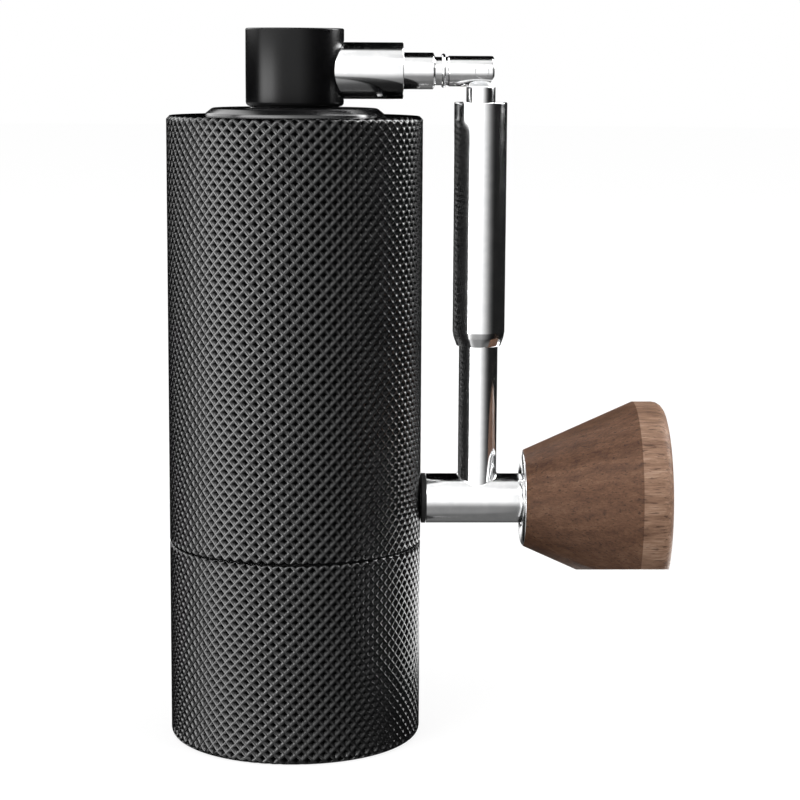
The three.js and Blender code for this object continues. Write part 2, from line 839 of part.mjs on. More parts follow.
// Built about the crank's own axis: heights are measured from it, and X runs out to the hinge.
function crankHub() {
  const bottom = -crankRise;
  const top = bottom + hubHeight;
  const blank = revolved([
    [0, bottom],
    [hubRadius - hubEdge, bottom],
    [hubRadius, bottom + hubEdge],
    [hubRadius, top - hubEdge],
    [hubRadius - hubEdge, top],
    [0, top],
  ], largeSides);
  const socketTop = hexTop + runGap - crankHeight;
  const socket = prism(
    regularPolygon(6, hexSocketCircle, Math.PI / 6), bottom - 1, socketTop - bottom + 1,
  );
  const seat = rodAlongX(ferruleRadius + fitGap, ferruleStart, hubRadius + 1);
  return piece('crank_hub', blank.subtract(socket).subtract(seat), blackSatin());
}

function hubFerrule() {
  const edge = 0.15;
  const bore = spigotRadius + fitGap;
  const seatStart = ferruleEnd - spigotSeat - fitGap;
  const body = revolvedAlongX([
    [0, ferruleStart + fitGap],
    [ferruleRadius, ferruleStart + fitGap],
    [ferruleRadius, ferruleEnd - edge],
    [ferruleRadius - edge, ferruleEnd],
    [bore, ferruleEnd],
    [bore, seatStart],
    [0, seatStart],
  ]);
  return piece('hub_ferrule', body, polishedSteel());
}

// The spigot that the locked sleeve closes on.  Its thinner end is forked for the arm's tongue.
function hingeSpigot() {
  const grooveStart = ferruleEnd + spigotLength;
  const rodStart = grooveStart + grooveWidth;
  const rodEnd = armOffset + hingeRodEnd;
  const nose = 1.1;
  const step = 0.3;
  const turnedRod = revolvedAlongX([
    [0, ferruleEnd - spigotSeat],
    [spigotRadius, ferruleEnd - spigotSeat],
    [spigotRadius, grooveStart],
    [grooveRadius, grooveStart + step],
    [grooveRadius, rodStart],
    [hingeRodRadius, rodStart + step],
    ...arc(hingeRodRadius - nose, rodEnd - nose, nose, 0, 90),
    [0, rodEnd],
  ]);
  const slotStart = armOffset - tongueRadius - runGap;
  const slotLength = rodEnd - slotStart + 1;
  const slot = box(slotLength, slotWidth, 4 * hingeRodRadius, slotStart + slotLength / 2, 0, 0);
  const pinHole = crossRod(hingePinRadius + fitGap, 2 * hingeRodRadius + 2)
    .translate([armOffset, 0, 0]);
  return piece('hinge_spigot', turnedRod.subtract(slot).subtract(pinHole), polishedSteel());
}

function crossRod(radius, length) {
  return solid(new THREE.CylinderGeometry(radius, radius, length, smallSides));
}

function detentRing() {
  const middle = ferruleEnd + spigotLength + detentRingPlace;
  const inner = grooveRadius + fitGap;
  const open = openRing(
    inner, detentRingRadius, -detentRingWidth / 2, detentRingWidth / 2, detentRingOpening,
  );
  return piece('detent_ring', open.rotate([0, 90, 0]).translate([middle, 0, 0]), polishedSteel());
}

function hingePin() {
  const length = 2 * Math.sqrt(hingeRodRadius ** 2 - hingePinRadius ** 2);
  const pin = crossRod(hingePinRadius, length).translate([armOffset, 0, 0]);
  return piece('hinge_pin', pin, brushedSteel());
}

// ---------------------------------------------------------------- crank arm

// Built about the hinge pin: the folded arm runs down -Z.
function crankArm() {
  const tongueDrop = neckStart + 0.5;
  const eye = crossRod(tongueRadius, tongueThickness);
  const tongue = box(
    2 * tongueRadius, tongueThickness, tongueDrop, 0, 0, -tongueDrop / 2,
  ).intersect(rod(neckRadius, -tongueDrop, 0));
  const pinHole = crossRod(hingePinRadius + fitGap, tongueThickness + 2);
  const oRingBottom = -oRingStart - oRingWidth;
  const bar = revolved([
    [0, -armLength],
    [rodRadius, -armLength],
    [rodRadius, oRingBottom - fitGap],
    [rodRadius - oRingDepth, oRingBottom - fitGap],
    [rodRadius - oRingDepth, -oRingStart + fitGap],
    [rodRadius, -oRingStart + fitGap],
    [rodRadius, -neckEnd - (rodRadius - neckRadius)],
    [neckRadius, -neckEnd],
    [neckRadius, -neckStart],
    [0, -neckStart],
  ], mediumSides);
  const tube = revolvedAlongX([
    [0, -crossTubeInner],
    [crossTubeRadius - seamChamfer, -crossTubeInner],
    [crossTubeRadius, -crossTubeInner + seamChamfer],
    [crossTubeRadius, crossTubeOuter - seamChamfer],
    [crossTubeRadius - seamChamfer, crossTubeOuter],
    [0, crossTubeOuter],
  ], mediumSides).translate([0, 0, -armLength]);
  const bushSeat = tubeBoreRadius + bushWall + fitGap;
  const bores = revolvedAlongX([
    [0, -crossTubeInner - 1],
    [headPocketRadius, -crossTubeInner - 1],
    [headPocketRadius, -crossTubeInner + headPocketDepth],
    [tubeBoreRadius, -crossTubeInner + headPocketDepth],
    [tubeBoreRadius, crossTubeOuter - bushLength - fitGap],
    [bushSeat, crossTubeOuter - bushLength - fitGap],
    [bushSeat, crossTubeOuter + 1],
    [0, crossTubeOuter + 1],
  ], smallSides).translate([0, 0, -armLength]);
  const body = eye.add(tongue).subtract(pinHole).add(bar).add(tube).subtract(bores);
  return piece('crank_arm', body, polishedSteel());
}

function sleeveORing() {
  const inner = rodRadius - oRingDepth + fitGap / 2;
  const outer = rodRadius + sleeveBoreGap / 2;
  const body = ring(inner, outer, -oRingStart - oRingWidth, -oRingStart, mediumSides);
  return piece('sleeve_o_ring', body, blackRubber());
}

function lockSleeve() {
  const bottom = -sleeveStart - sleeveLength;
  const edge = 0.2;
  const grooveTop = -sleeveStart - sleeveGrooveStart;
  const grooveBottom = grooveTop - sleeveGrooveWidth;
  const grooveRadiusInside = sleeveBore + sleeveGrooveDepth;
  const body = revolved([
    [sleeveBore, bottom],
    [sleeveRadius - sleeveTaper, bottom],
    [sleeveRadius - sleeveKneeDepth, bottom + sleeveKneeLength],
    [sleeveRadius, bottom + sleeveTaperLength],
    [sleeveRadius, -sleeveStart - edge],
    [sleeveRadius - edge, -sleeveStart],
    [sleeveBore, -sleeveStart],
    [sleeveBore, grooveTop],
    [grooveRadiusInside, grooveTop - sleeveGrooveDepth],
    [grooveRadiusInside, grooveBottom + sleeveGrooveDepth],
    [sleeveBore, grooveBottom],
  ], mediumSides);
  return piece('lock_sleeve', body, polishedSteel());
}

// ---------------------------------------------------------------- cross tube fittings and knob

// Built about the knob's axis: X is measured from the arm's centre line.
function armBumper() {
  const end = -crossTubeInner - fitGap;
  const start = end - bumperThickness;
  const plug = headPocketRadius - fitGap;
  const edge = 0.3;
  const body = revolvedAlongX([
    [0, start],
    [crossTubeRadius - 2 * edge, start],
    [crossTubeRadius - edge, start + edge],
    [crossTubeRadius - edge, end],
    [plug, end],
    [plug, end + bumperPlugLength],
    [0, end + bumperPlugLength],
  ], mediumSides);
  return piece('arm_bumper', body, blackRubber());
}

function knobBush() {
  const flangeStart = crossTubeOuter + fitGap;
  const bore = tubeBoreRadius - fitGap;
  const outer = tubeBoreRadius + bushWall;
  const body = revolvedAlongX([
    [bore, crossTubeOuter - bushLength],
    [outer, crossTubeOuter - bushLength],
    [outer, flangeStart],
    [crossTubeRadius - bushStep, flangeStart],
    [crossTubeRadius - bushStep, flangeStart + bushFlange],
    [bore, flangeStart + bushFlange],
  ], smallSides);
  return piece('knob_bush', body, brass());
}

const headSeat = -crossTubeInner + headPocketDepth - fitGap;
const insertStart = crossTubeOuter + fitGap + bushFlange + runGap;

function screwWasher() {
  const outer = screwHeadRadius + fitGap / 2;
  const body = revolvedAlongX([
    [screwRadius + fitGap, headSeat - washerThickness],
    [outer, headSeat - washerThickness],
    [outer, headSeat],
    [screwRadius + fitGap, headSeat],
  ], smallSides);
  return piece('screw_washer', body, brushedSteel());
}

function knobScrew() {
  const headEnd = headSeat - washerThickness - fitGap;
  const headStart = headEnd - screwHeadHeight;
  const edge = 0.3;
  const blank = revolvedAlongX([
    [0, headStart],
    [screwHeadRadius - edge, headStart],
    [screwHeadRadius, headStart + edge],
    [screwHeadRadius, headEnd],
    [screwRadius, headEnd],
    [screwRadius, insertStart + screwGrip],
    [0, insertStart + screwGrip],
  ], smallSides);
  const key = prism(regularPolygon(6, screwHexAcrossFlats / Math.sqrt(3)), -1, 1 + screwHeadHeight / 2)
    .rotate([0, 90, 0])
    .translate([headStart, 0, 0]);
  return piece('knob_screw', blank.subtract(key), brushedSteel());
}

function knobInsert() {
  const bore = screwRadius + fitGap;
  const floor = insertStart + screwGrip + runGap;
  const body = revolvedAlongX([
    [bore, insertStart],
    [insertRadius, insertStart],
    [insertRadius, insertStart + insertLength],
    [0, insertStart + insertLength],
    [0, floor],
    [bore, floor],
  ], smallSides);
  return piece('knob_insert', body, brass());
}

// The polished collar bulges out of the knob's narrow end and dips in again round the tube.
function knobCollar() {
  const face = knobStart - fitGap;
  const crest = (collarFlangeRadius + collarRecessRadius) / 2;
  const half = (collarFlangeRadius - collarRecessRadius) / 2;
  const bulge = [];
  for (let i = 0; i <= 6; i += 1) {
    const angle = (Math.PI * i) / 6;
    bulge.push([crest - half * Math.cos(angle), face - collarBulge * Math.sin(angle)]);
  }
  const recessFloor = insertStart - runGap;
  const throat = insertRadius + fitGap;
  const body = revolvedAlongX([
    ...bulge,
    [collarSpigotRadius, face],
    [collarSpigotRadius, knobStart + collarSpigotLength],
    [throat, knobStart + collarSpigotLength],
    [throat, recessFloor],
    [collarRecessRadius, recessFloor],
  ], mediumSides);
  return piece('knob_collar', body, polishedSteel());
}

function knobWood() {
  const spigotSeatRadius = collarSpigotRadius + fitGap;
  const spigotSeatEnd = knobStart + collarSpigotLength + fitGap;
  const insertSeatRadius = insertRadius + fitGap;
  const insertSeatEnd = insertStart + insertLength + fitGap;
  const coneEnd = knobStart + knobConeLength;
  const bandEnd = coneEnd + knobBandLength;
  const nose = 0.5;
  const blank = revolvedAlongX([
    [spigotSeatRadius, knobStart],
    [knobNeckRadius - nose, knobStart],
    [knobNeckRadius, knobStart + nose],
    [knobRadius, coneEnd],
    ...arc(knobRadius - knobEdge, bandEnd - knobEdge, knobEdge, 0, 75),
    [knobCrownRadius, bandEnd + knobCrownRise],
    [0, bandEnd + knobDome],
    [0, insertSeatEnd],
    [insertSeatRadius, insertSeatEnd],
    [insertSeatRadius, spigotSeatEnd],
    [spigotSeatRadius, spigotSeatEnd],
  ], largeSides);
  const length = knobConeLength + knobBandLength + 10;
  const planed = new THREE.BoxGeometry(length, 3 * knobRadius, knobRadius)
    .translate(knobStart + length / 2, 0, -knobFlat - knobRadius / 2)
    .rotateX(knobTurn);
  return piece('knob_wood', blank.subtract(solid(planed)), walnut());
}

// ---------------------------------------------------------------- assembly

function placed(x, y, z, ...children) {
  const group = new THREE.Group();
  group.position.set(x, y, z);
  group.add(...children);
  return group;
}

const grinder = new THREE.Group();
grinder.name = 'hand_crank_coffee_grinder';

grinder.add(
  catchCup(),
  cupGasket(),
  outerShell(),
  chamber(),
  lowerCarrier(),
  upperCarrier(),
  outerRace('lower_outer_race', lowerBearingBottom),
  outerRace('upper_outer_race', upperBearingBottom),
  innerRace('lower_inner_race', lowerBearingBottom),
  innerRace('upper_inner_race', upperBearingBottom),
  ringBurr(),
  burrRetainingRing(),
  driveShaft(),
  shaftCirclip(),
  springWasher(),
  burrSpring(),
  innerBurr(),
  clickPlate(),
  grindDial(),
  detentBall('detent_ball_a', 1),
  detentBall('detent_ball_b', -1),
  lid(),
  placed(0, 0, crankHeight, crankHub(), hubFerrule(), hingeSpigot(), detentRing(), hingePin()),
  placed(armOffset, 0, crankHeight, crankArm(), sleeveORing(), lockSleeve()),
  placed(
    armOffset,
    0,
    knobHeight,
    armBumper(),
    knobBush(),
    screwWasher(),
    knobScrew(),
    knobInsert(),
    knobCollar(),
    knobWood(),
  ),
);

export default grinder;
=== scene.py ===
"""Folding-crank coffee grinder: the looks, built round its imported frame."""
import math

import bmesh
import bpy
from mathutils import Matrix, Vector


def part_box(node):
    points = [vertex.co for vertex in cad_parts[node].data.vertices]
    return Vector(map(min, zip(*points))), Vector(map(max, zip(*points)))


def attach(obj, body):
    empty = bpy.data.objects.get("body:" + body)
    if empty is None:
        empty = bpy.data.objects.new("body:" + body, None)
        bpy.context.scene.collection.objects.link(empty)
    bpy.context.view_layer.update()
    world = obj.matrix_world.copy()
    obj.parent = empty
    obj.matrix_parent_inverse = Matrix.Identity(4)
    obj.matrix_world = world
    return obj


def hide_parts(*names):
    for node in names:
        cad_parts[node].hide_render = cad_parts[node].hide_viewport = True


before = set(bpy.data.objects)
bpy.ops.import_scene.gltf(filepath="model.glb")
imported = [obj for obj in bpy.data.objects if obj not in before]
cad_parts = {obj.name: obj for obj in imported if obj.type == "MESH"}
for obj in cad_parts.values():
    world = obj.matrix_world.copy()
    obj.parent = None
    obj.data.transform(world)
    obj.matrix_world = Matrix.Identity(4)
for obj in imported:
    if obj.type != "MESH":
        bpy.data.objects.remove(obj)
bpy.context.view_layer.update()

MM = 0.001  # every shape below is made in millimetres and scaled once, in add_piece
TURN = 2 * math.pi


# -------------------- where the frame's pieces are

def extent(node):
    """A CAD node's lowest and highest corners, in millimetres."""
    low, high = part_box(node)
    return low / MM, high / MM


shell_low, shell_high = extent("outer_shell")
_, cup_high = extent("catch_cup")
chamber_low, chamber_high = extent("chamber")
lid_low, lid_high = extent("lid")
lower_low, _ = extent("lower_bearing_carrier")
upper_low, _ = extent("upper_bearing_carrier")
gasket_low, gasket_high = extent("cup_gasket")
dial_low, dial_high = extent("grind_dial")
hub_low, hub_high = extent("crank_hub")
ferrule_low, ferrule_high = extent("hub_ferrule")
spigot_low, spigot_high = extent("hinge_spigot")
detent_low, detent_high = extent("detent_ring")
pin_low, pin_high = extent("hinge_pin")
arm_low, arm_high = extent("crank_arm")
sleeve_low, sleeve_high = extent("lock_sleeve")
bumper_low, bumper_high = extent("arm_bumper")
collar_low, collar_high = extent("knob_collar")
wood_low, wood_high = extent("knob_wood")

BODY_RADIUS = shell_high.x
CRANK_HEIGHT = (ferrule_low.z + ferrule_high.z) / 2
PIN_X = (pin_low.x + pin_high.x) / 2
KNOB_HEIGHT = (collar_low.z + collar_high.z) / 2
TUBE_RADIUS = (arm_high.y - arm_low.y) / 2
ARM_X = PIN_X
CRANK_LINE = (0, 0, CRANK_HEIGHT)
KNOB_LINE = (0, 0, KNOB_HEIGHT)
ARM_LINE = (ARM_X, 0, 0)
KNOB_DOME = 0.9  # rise of the knob's end over its rounded edge
KNOB_BAND = 5.5  # length of the knob's cylindrical band
KNOB_LEAD = 0.8  # how far the wood reaches past its solid, over the collar
KNOB_FLAT = 13.5  # distance of the planed flat from the knob's axis
KNOB_TURN = math.radians(-13)  # the knob at rest, turned about its axis


# -------------------- camera

CAMERA_PLACE = Vector((0.00761, -0.41586, 0.12645))
CAMERA_YAW, CAMERA_PITCH, CAMERA_ROLL = (math.radians(a) for a in (1.648, 8.616, 0.331))
CAMERA_LENS = 101.26  # millimetres, on a sensor 36 mm wide


def make_camera():
    """The photograph's view: from the front, a little above, with a long lens."""
    forward = Vector((
        math.sin(CAMERA_YAW) * math.cos(CAMERA_PITCH),
        math.cos(CAMERA_YAW) * math.cos(CAMERA_PITCH),
        -math.sin(CAMERA_PITCH)))
    level = Vector((math.cos(CAMERA_YAW), -math.sin(CAMERA_YAW), 0))
    upright = level.cross(forward)
    right = level * math.cos(CAMERA_ROLL) + upright * math.sin(CAMERA_ROLL)
    up = upright * math.cos(CAMERA_ROLL) - level * math.sin(CAMERA_ROLL)
    camera = bpy.data.objects.new("camera", bpy.data.cameras.new("camera"))
    bpy.context.scene.collection.objects.link(camera)
    camera.data.sensor_width = 36
    camera.data.lens = CAMERA_LENS
    camera.data.clip_start = 0.01
    camera.data.clip_end = 20
    turn = Matrix((right, up, -forward)).transposed()
    camera.matrix_world = Matrix.LocRotScale(CAMERA_PLACE, turn, None)
    bpy.context.scene.camera = camera


# -------------------- node trees

def add_node(tree, kind, inputs=None, **settings):
    """A node with its settings, and its sockets set to values or linked to other sockets."""
    made = tree.nodes.new(kind)
    for key, value in settings.items():
        setattr(made, key, value)
    for key, value in (inputs or {}).items():
        socket = made.inputs[key]
        if isinstance(value, bpy.types.NodeSocket):
            tree.links.new(value, socket)
        else:
            socket.default_value = value
    return made


def maths(tree, operation, first, second=None, third=None, clamp=False):
    """A sum on values or sockets."""
    values = {i: v for i, v in enumerate((first, second, third)) if v is not None}
    return add_node(tree, "ShaderNodeMath", values, operation=operation, use_clamp=clamp).outputs[0]


def map_range(tree, value, from_low, from_high, to_low=0.0, to_high=1.0, smooth=True):
    """A value carried from one range to another, and held at its ends."""
    made = add_node(
        tree, "ShaderNodeMapRange",
        {"Value": value, "From Min": from_low, "From Max": from_high,
         "To Min": to_low, "To Max": to_high},
        interpolation_type="SMOOTHSTEP" if smooth else "LINEAR")
    return made.outputs[0]


def mix_value(tree, factor, first, second):
    """The first value where the factor is 0, the second where it is 1."""
    return map_range(tree, factor, 0.0, 1.0, first, second, smooth=False)


def mix_colour(tree, factor, first, second, blend="MIX"):
    """Two colours or sockets, mixed or multiplied."""
    made = add_node(tree, "ShaderNodeMix", data_type="RGBA", blend_type=blend)
    for key, value in ((0, factor), (6, first), (7, second)):
        socket = made.inputs[key]
        if isinstance(value, bpy.types.NodeSocket):
            tree.links.new(value, socket)
        elif key:
            socket.default_value = (*value, 1)
        else:
            socket.default_value = value
    return made.outputs[2]


def ramp(tree, value, stops, interpolation="LINEAR"):
    """A colour ramp of (place, grey or colour) stops."""
    made = add_node(tree, "ShaderNodeValToRGB", {"Fac": value})
    made.color_ramp.interpolation = interpolation
    elements = made.color_ramp.elements
    elements.remove(elements[1])
    for i, (place, colour) in enumerate(stops):
        element = elements[0] if i == 0 else elements.new(place)
        element.position = place
        element.color = (*colour, 1) if isinstance(colour, tuple) else (colour, colour, colour, 1)
    return made.outputs[0]


class Finish:
    """A material round one Principled shader, with its object coordinates in millimetres."""

    def __init__(self, name, **sockets):
        self.material = bpy.data.materials.new(name)
        self.material.use_nodes = True
        self.tree = self.material.node_tree
        self.shader = self.tree.nodes["Principled BSDF"]
        place = add_node(self.tree, "ShaderNodeTexCoord").outputs["Object"]
        self.place = add_node(
            self.tree, "ShaderNodeVectorMath", {0: place, "Scale": 1 / MM},
            operation="SCALE").outputs[0]
        self.x, self.y, self.z = add_node(
            self.tree, "ShaderNodeSeparateXYZ", {0: self.place}).outputs
        for key, value in sockets.items():
            self.set(key.replace("_", " "), value)

    def set(self, key, value):
        """Give one of the shader's inputs a value, a colour or a link."""
        socket = self.shader.inputs[key]
        if isinstance(value, bpy.types.NodeSocket):
            self.tree.links.new(value, socket)
        elif isinstance(value, tuple):
            socket.default_value = (*value, 1)
        else:
            socket.default_value = value

    def stretched(self, along_x, along_y, along_z):
        """The coordinates, scaled by a number each way."""
        return add_node(
            self.tree, "ShaderNodeVectorMath",
            {0: self.place, 1: (along_x, along_y, along_z)}, operation="MULTIPLY").outputs[0]

    def noise(self, vector, scale, detail=3.0, roughness=0.55):
        """Fractal noise, with scale features to the millimetre."""
        return add_node(
            self.tree, "ShaderNodeTexNoise",
            {"Vector": vector, "Scale": scale, "Detail": detail, "Roughness": roughness},
        ).outputs["Fac"]

    def from_axis(self, axis, centre=0.0):
        """Distance from an axis along Z at x = centre, or along X at z = centre."""
        across = self.x if axis == "Z" else self.z
        shifted = maths(self.tree, "SUBTRACT", across, centre)
        squares = maths(self.tree, "ADD", maths(self.tree, "POWER", shifted, 2.0),
                        maths(self.tree, "POWER", self.y, 2.0))
        return maths(self.tree, "SQRT", squares)

    def bump(self, height, distance, strength=1.0):
        """Relief of a 0 to 1 height, distance millimetres deep."""
        made = add_node(
            self.tree, "ShaderNodeBump",
            {"Height": height, "Distance": distance * MM, "Strength": strength})
        self.set("Normal", made.outputs[0])


def knurled_finish():
    """Black anodising over sharp knurling, with painted shade that darkens the pits and dims their
    reflection; smooth at the rim.
    """
    made = Finish("black_anodised_knurl", IOR=1.66)
    tree = made.tree
    depth = map_range(tree, made.from_axis("Z"), BODY_RADIUS - KNURL_DEPTH, BODY_RADIUS)
    cloud = made.noise(made.place, 0.35, 4.0)
    grain = made.noise(made.place, 9.0, 2.0)
    # painted shade: the colour darkens from the ridges down into the pits, and a random cloud
    # varies it
    pit_shade_and_mottle = maths(tree, "MULTIPLY", depth, map_range(tree, cloud, 0.35, 0.7, 0.4, 1.0))
    made.set("Base Color", mix_colour(tree, pit_shade_and_mottle, (0.001, 0.001, 0.0011), (0.009, 0.009, 0.0093)))
    # painted shade: the reflection is turned down in the pits
    made.set("Specular IOR Level", map_range(tree, depth, 0.62, 0.98, 0.1, 0.48))
    rough = maths(tree, "ADD", map_range(tree, depth, 0.0, 1.0, 0.3, 0.21),
                  map_range(tree, grain, 0.3, 0.7, -0.03, 0.03))
    rim = map_range(tree, made.z, shell_high.z - SHELL_RIM - 0.15, shell_high.z - SHELL_RIM)
    made.set("Roughness", mix_value(tree, rim, rough, 0.16))
    made.bump(grain, 0.006)
    return made.material


def anodised_finish():
    """Smooth, faintly glossy black anodising with fine turning marks."""
    made = Finish("black_anodised_smooth", IOR=1.66)
    tree = made.tree
    lines = add_node(tree, "ShaderNodeCombineXYZ", {0: made.from_axis("Z"), 1: made.z}).outputs[0]
    marks = made.noise(lines, 9.0, 3.0, 0.6)
    cloud = made.noise(made.place, 0.25, 4.0)
    made.set("Base Color", mix_colour(
        tree, map_range(tree, cloud, 0.3, 0.7), (0.004, 0.004, 0.0045), (0.008, 0.008, 0.0085)))
    made.set("Roughness", map_range(tree, marks, 0.3, 0.7, 0.15, 0.21))
    made.bump(marks, 0.002)
    return made.material


def satin_finish():
    """Satin black anodising: little gloss, and a grain too fine to see singly."""
    made = Finish("black_satin", IOR=1.315)
    tree = made.tree
    cloud = made.noise(made.place, 0.25, 4.0)
    grain = made.noise(made.place, 14.0, 2.0)
    made.set("Base Color", mix_colour(
        tree, map_range(tree, cloud, 0.3, 0.7), (0.0018, 0.0018, 0.002), (0.003, 0.003, 0.0033)))
    made.set("Roughness", map_range(tree, grain, 0.3, 0.7, 0.2, 0.25))
    made.bump(grain, 0.004)
    return made.material


def polished_finish():
    """Mirror-polished steel with hair-fine handling marks."""
    made = Finish("polished_steel", Metallic=1.0)
    tree = made.tree
    cloud = made.noise(made.place, 0.6, 5.0)
    made.set("Base Color", mix_colour(
        tree, map_range(tree, cloud, 0.3, 0.7), (0.86, 0.865, 0.87), (0.93, 0.93, 0.93)))
    made.set("Roughness", map_range(tree, cloud, 0.35, 0.75, 0.12, 0.16))
    made.bump(made.noise(made.place, 0.18, 2.0), 0.012, 0.35)
    return made.material


def turned_finish(name, light, dark, rough, axis="Z", centre=0.0):
    """Metal with fine turning marks round an axis."""
    made = Finish(name, Metallic=1.0)
    tree = made.tree
    radius = made.from_axis(axis, centre)
    along = made.z if axis == "Z" else made.x
    lines = add_node(tree, "ShaderNodeCombineXYZ", {0: radius, 1: along}).outputs[0]
    marks = made.noise(lines, 7.0, 3.0, 0.6)
    cloud = made.noise(made.place, 0.5, 4.0)
    made.set("Base Color", mix_colour(tree, marks, dark, light))
    made.set("Roughness", maths(tree, "ADD", map_range(tree, cloud, 0.3, 0.7, -0.04, 0.04), rough))
    made.bump(marks, 0.006, 0.6)
    return made.material


def rubber_finish():
    """Matt black rubber with a moulded grain."""
    made = Finish("black_rubber", IOR=1.5)
    tree = made.tree
    grain = made.noise(made.place, 5.0, 5.0, 0.6)
    made.set("Base Color", mix_colour(tree, grain, (0.008, 0.008, 0.008), (0.02, 0.02, 0.02)))
    made.set("Roughness", map_range(tree, grain, 0.3, 0.7, 0.6, 0.8))
    made.bump(grain, 0.02)
    return made.material


def walnut_finish():
    """Oiled walnut: soft growth bands and short dark pores along X, with painted light making the
    turned band paler and greyer.
    """
    made = Finish("walnut", IOR=1.33)
    tree = made.tree
    drift = made.noise(made.stretched(0.03, 0.05, 0.05), 1.0, 2.0)
    across = maths(tree, "ADD", maths(tree, "MULTIPLY", made.z, 0.9),
                   maths(tree, "MULTIPLY", made.y, 0.45))
    growth = add_node(tree, "ShaderNodeCombineXYZ", {
        0: maths(tree, "MULTIPLY", made.x, 0.05),
        1: maths(tree, "ADD", across, maths(tree, "MULTIPLY", drift, 9.0))})
    bands = made.noise(growth.outputs[0], 0.36, 4.0, 0.6)
    fibres = made.noise(made.stretched(0.3, 3.6, 3.6), 1.0, 5.0, 0.72)
    mottle = made.noise(made.stretched(0.16, 0.75, 0.75), 1.0, 4.0, 0.65)
    pores = made.noise(made.stretched(0.42, 3.4, 3.4), 1.0, 2.0, 0.5)
    grown = maths(tree, "ADD", maths(tree, "MULTIPLY", bands, 0.34),
                  maths(tree, "MULTIPLY", mottle, 0.32))
    figure = maths(tree, "ADD", grown, maths(tree, "MULTIPLY", fibres, 0.34))
    colour = ramp(tree, figure, [
        (0.36, (0.040, 0.0160, 0.0080)),
        (0.45, (0.095, 0.0430, 0.0225)),
        (0.53, (0.142, 0.0690, 0.0375)),
        (0.64, (0.225, 0.1240, 0.0740)),
    ])
    pore = map_range(tree, pores, 0.60, 0.67)
    colour = mix_colour(tree, maths(tree, "MULTIPLY", pore, 0.72), colour, (0.026, 0.0105, 0.006))
    edge = wood_high.x - KNOB_DOME - KNOB_BAND
    # painted light: the turned band is made paler and greyer, standing in for the light and sheen
    # it catches
    band = map_range(tree, made.x, edge - 0.04, edge + 0.04)
    pale = mix_colour(tree, band, (1.0, 1.0, 1.0), (2.15, 2.65, 3.2))
    made.set("Base Color", mix_colour(tree, 1.0, colour, pale, "MULTIPLY"))
    made.set("Roughness", map_range(tree, fibres, 0.3, 0.7, 0.42, 0.55))
    made.bump(maths(tree, "SUBTRACT", maths(tree, "MULTIPLY", fibres, 0.35), pore), 0.04, 0.7)
    return made.material


# -------------------- mesh building

def rounded(profile, steps=4):
    """A profile of (radius, height[, fillet]) corners as plain points, with its fillets."""
    points = []
    count = len(profile)
    for i, corner in enumerate(profile):
        here = Vector(corner[:2])
        fillet = corner[2] if len(corner) > 2 else 0
        if not fillet:
            points.append(tuple(here))
            continue
        back = Vector(profile[i - 1][:2]) - here
        on = Vector(profile[(i + 1) % count][:2]) - here
        half = back.angle(on) / 2
        reach = min(fillet / math.tan(half), 0.49 * back.length, 0.49 * on.length)
        fillet = reach * math.tan(half)
        centre = here + (back.normalized() + on.normalized()).normalized() * fillet / math.sin(half)
        start = here + back.normalized() * reach - centre
        end = here + on.normalized() * reach - centre
        swing = start.angle_signed(end)
        for k in range(steps + 1):
            part = start.copy()
            part.rotate(Matrix.Rotation(-swing * k / steps, 2))
            points.append(tuple(centre + part))
    return points


def skirt(bm, first, second):
    """Faces between two rings of vertices; a ring may be a single pole."""
    count = max(len(first), len(second))
    for i in range(count if count > 1 else 0):
        j = (i + 1) % count
        if len(first) == 1:
            bm.faces.new((first[0], second[i], second[j]))
        elif len(second) == 1:
            bm.faces.new((first[j], first[i], second[0]))
        else:
            bm.faces.new((first[j], first[i], second[i], second[j]))


def lathe(profile, segments=96, along_x=False, origin=(0, 0, 0), radius_at=None):
    """A closed turned solid from (radius, height[, fillet]) corners, about Z or about X."""
    bm = bmesh.new()
    rings = []
    points = rounded(profile)
    for radius, height in points:
        ring = []
        for k in range(1 if radius < 1e-6 else segments):
            angle = TURN * k / segments
            r = radius_at(angle, radius, height) if radius_at else radius
            across = (r * math.cos(angle), r * math.sin(angle))
            local = (height, *across) if along_x else (*across, height)
            ring.append(bm.verts.new(Vector(local) + Vector(origin)))
        rings.append(ring)
    for first, second in zip(rings, rings[1:]):
        skirt(bm, first, second)
    if len(rings[0]) > 1 and len(rings[-1]) > 1:
        skirt(bm, rings[-1], rings[0])
    return bm


def block(low, high):
    """A rectangular tool for cutting."""
    bm = bmesh.new()
    low, high = Vector(low), Vector(high)
    bmesh.ops.create_cube(bm, size=1, matrix=Matrix.LocRotScale(
        (low + high) / 2, None, high - low))
    return bm


def prism(sides, circle, bottom, top, turn=0.0):
    """An upright prism whose corners lie on a circle about Z."""
    bm = bmesh.new()
    rings = []
    for height in (bottom, top):
        rings.append([
            bm.verts.new((circle * math.cos(turn + TURN * k / sides),
                          circle * math.sin(turn + TURN * k / sides), height))
            for k in range(sides)])
    skirt(bm, rings[0], rings[1])
    bm.faces.new(rings[0])
    bm.faces.new(rings[1][::-1])
    return bm


def to_object(bm, name):
    """An object in the scene from a mesh under construction, which is used up."""
    bmesh.ops.recalc_face_normals(bm, faces=bm.faces)
    mesh = bpy.data.meshes.new(name)
    bm.to_mesh(mesh)
    bm.free()
    made = bpy.data.objects.new(name, mesh)
    bpy.context.scene.collection.objects.link(made)
    return made


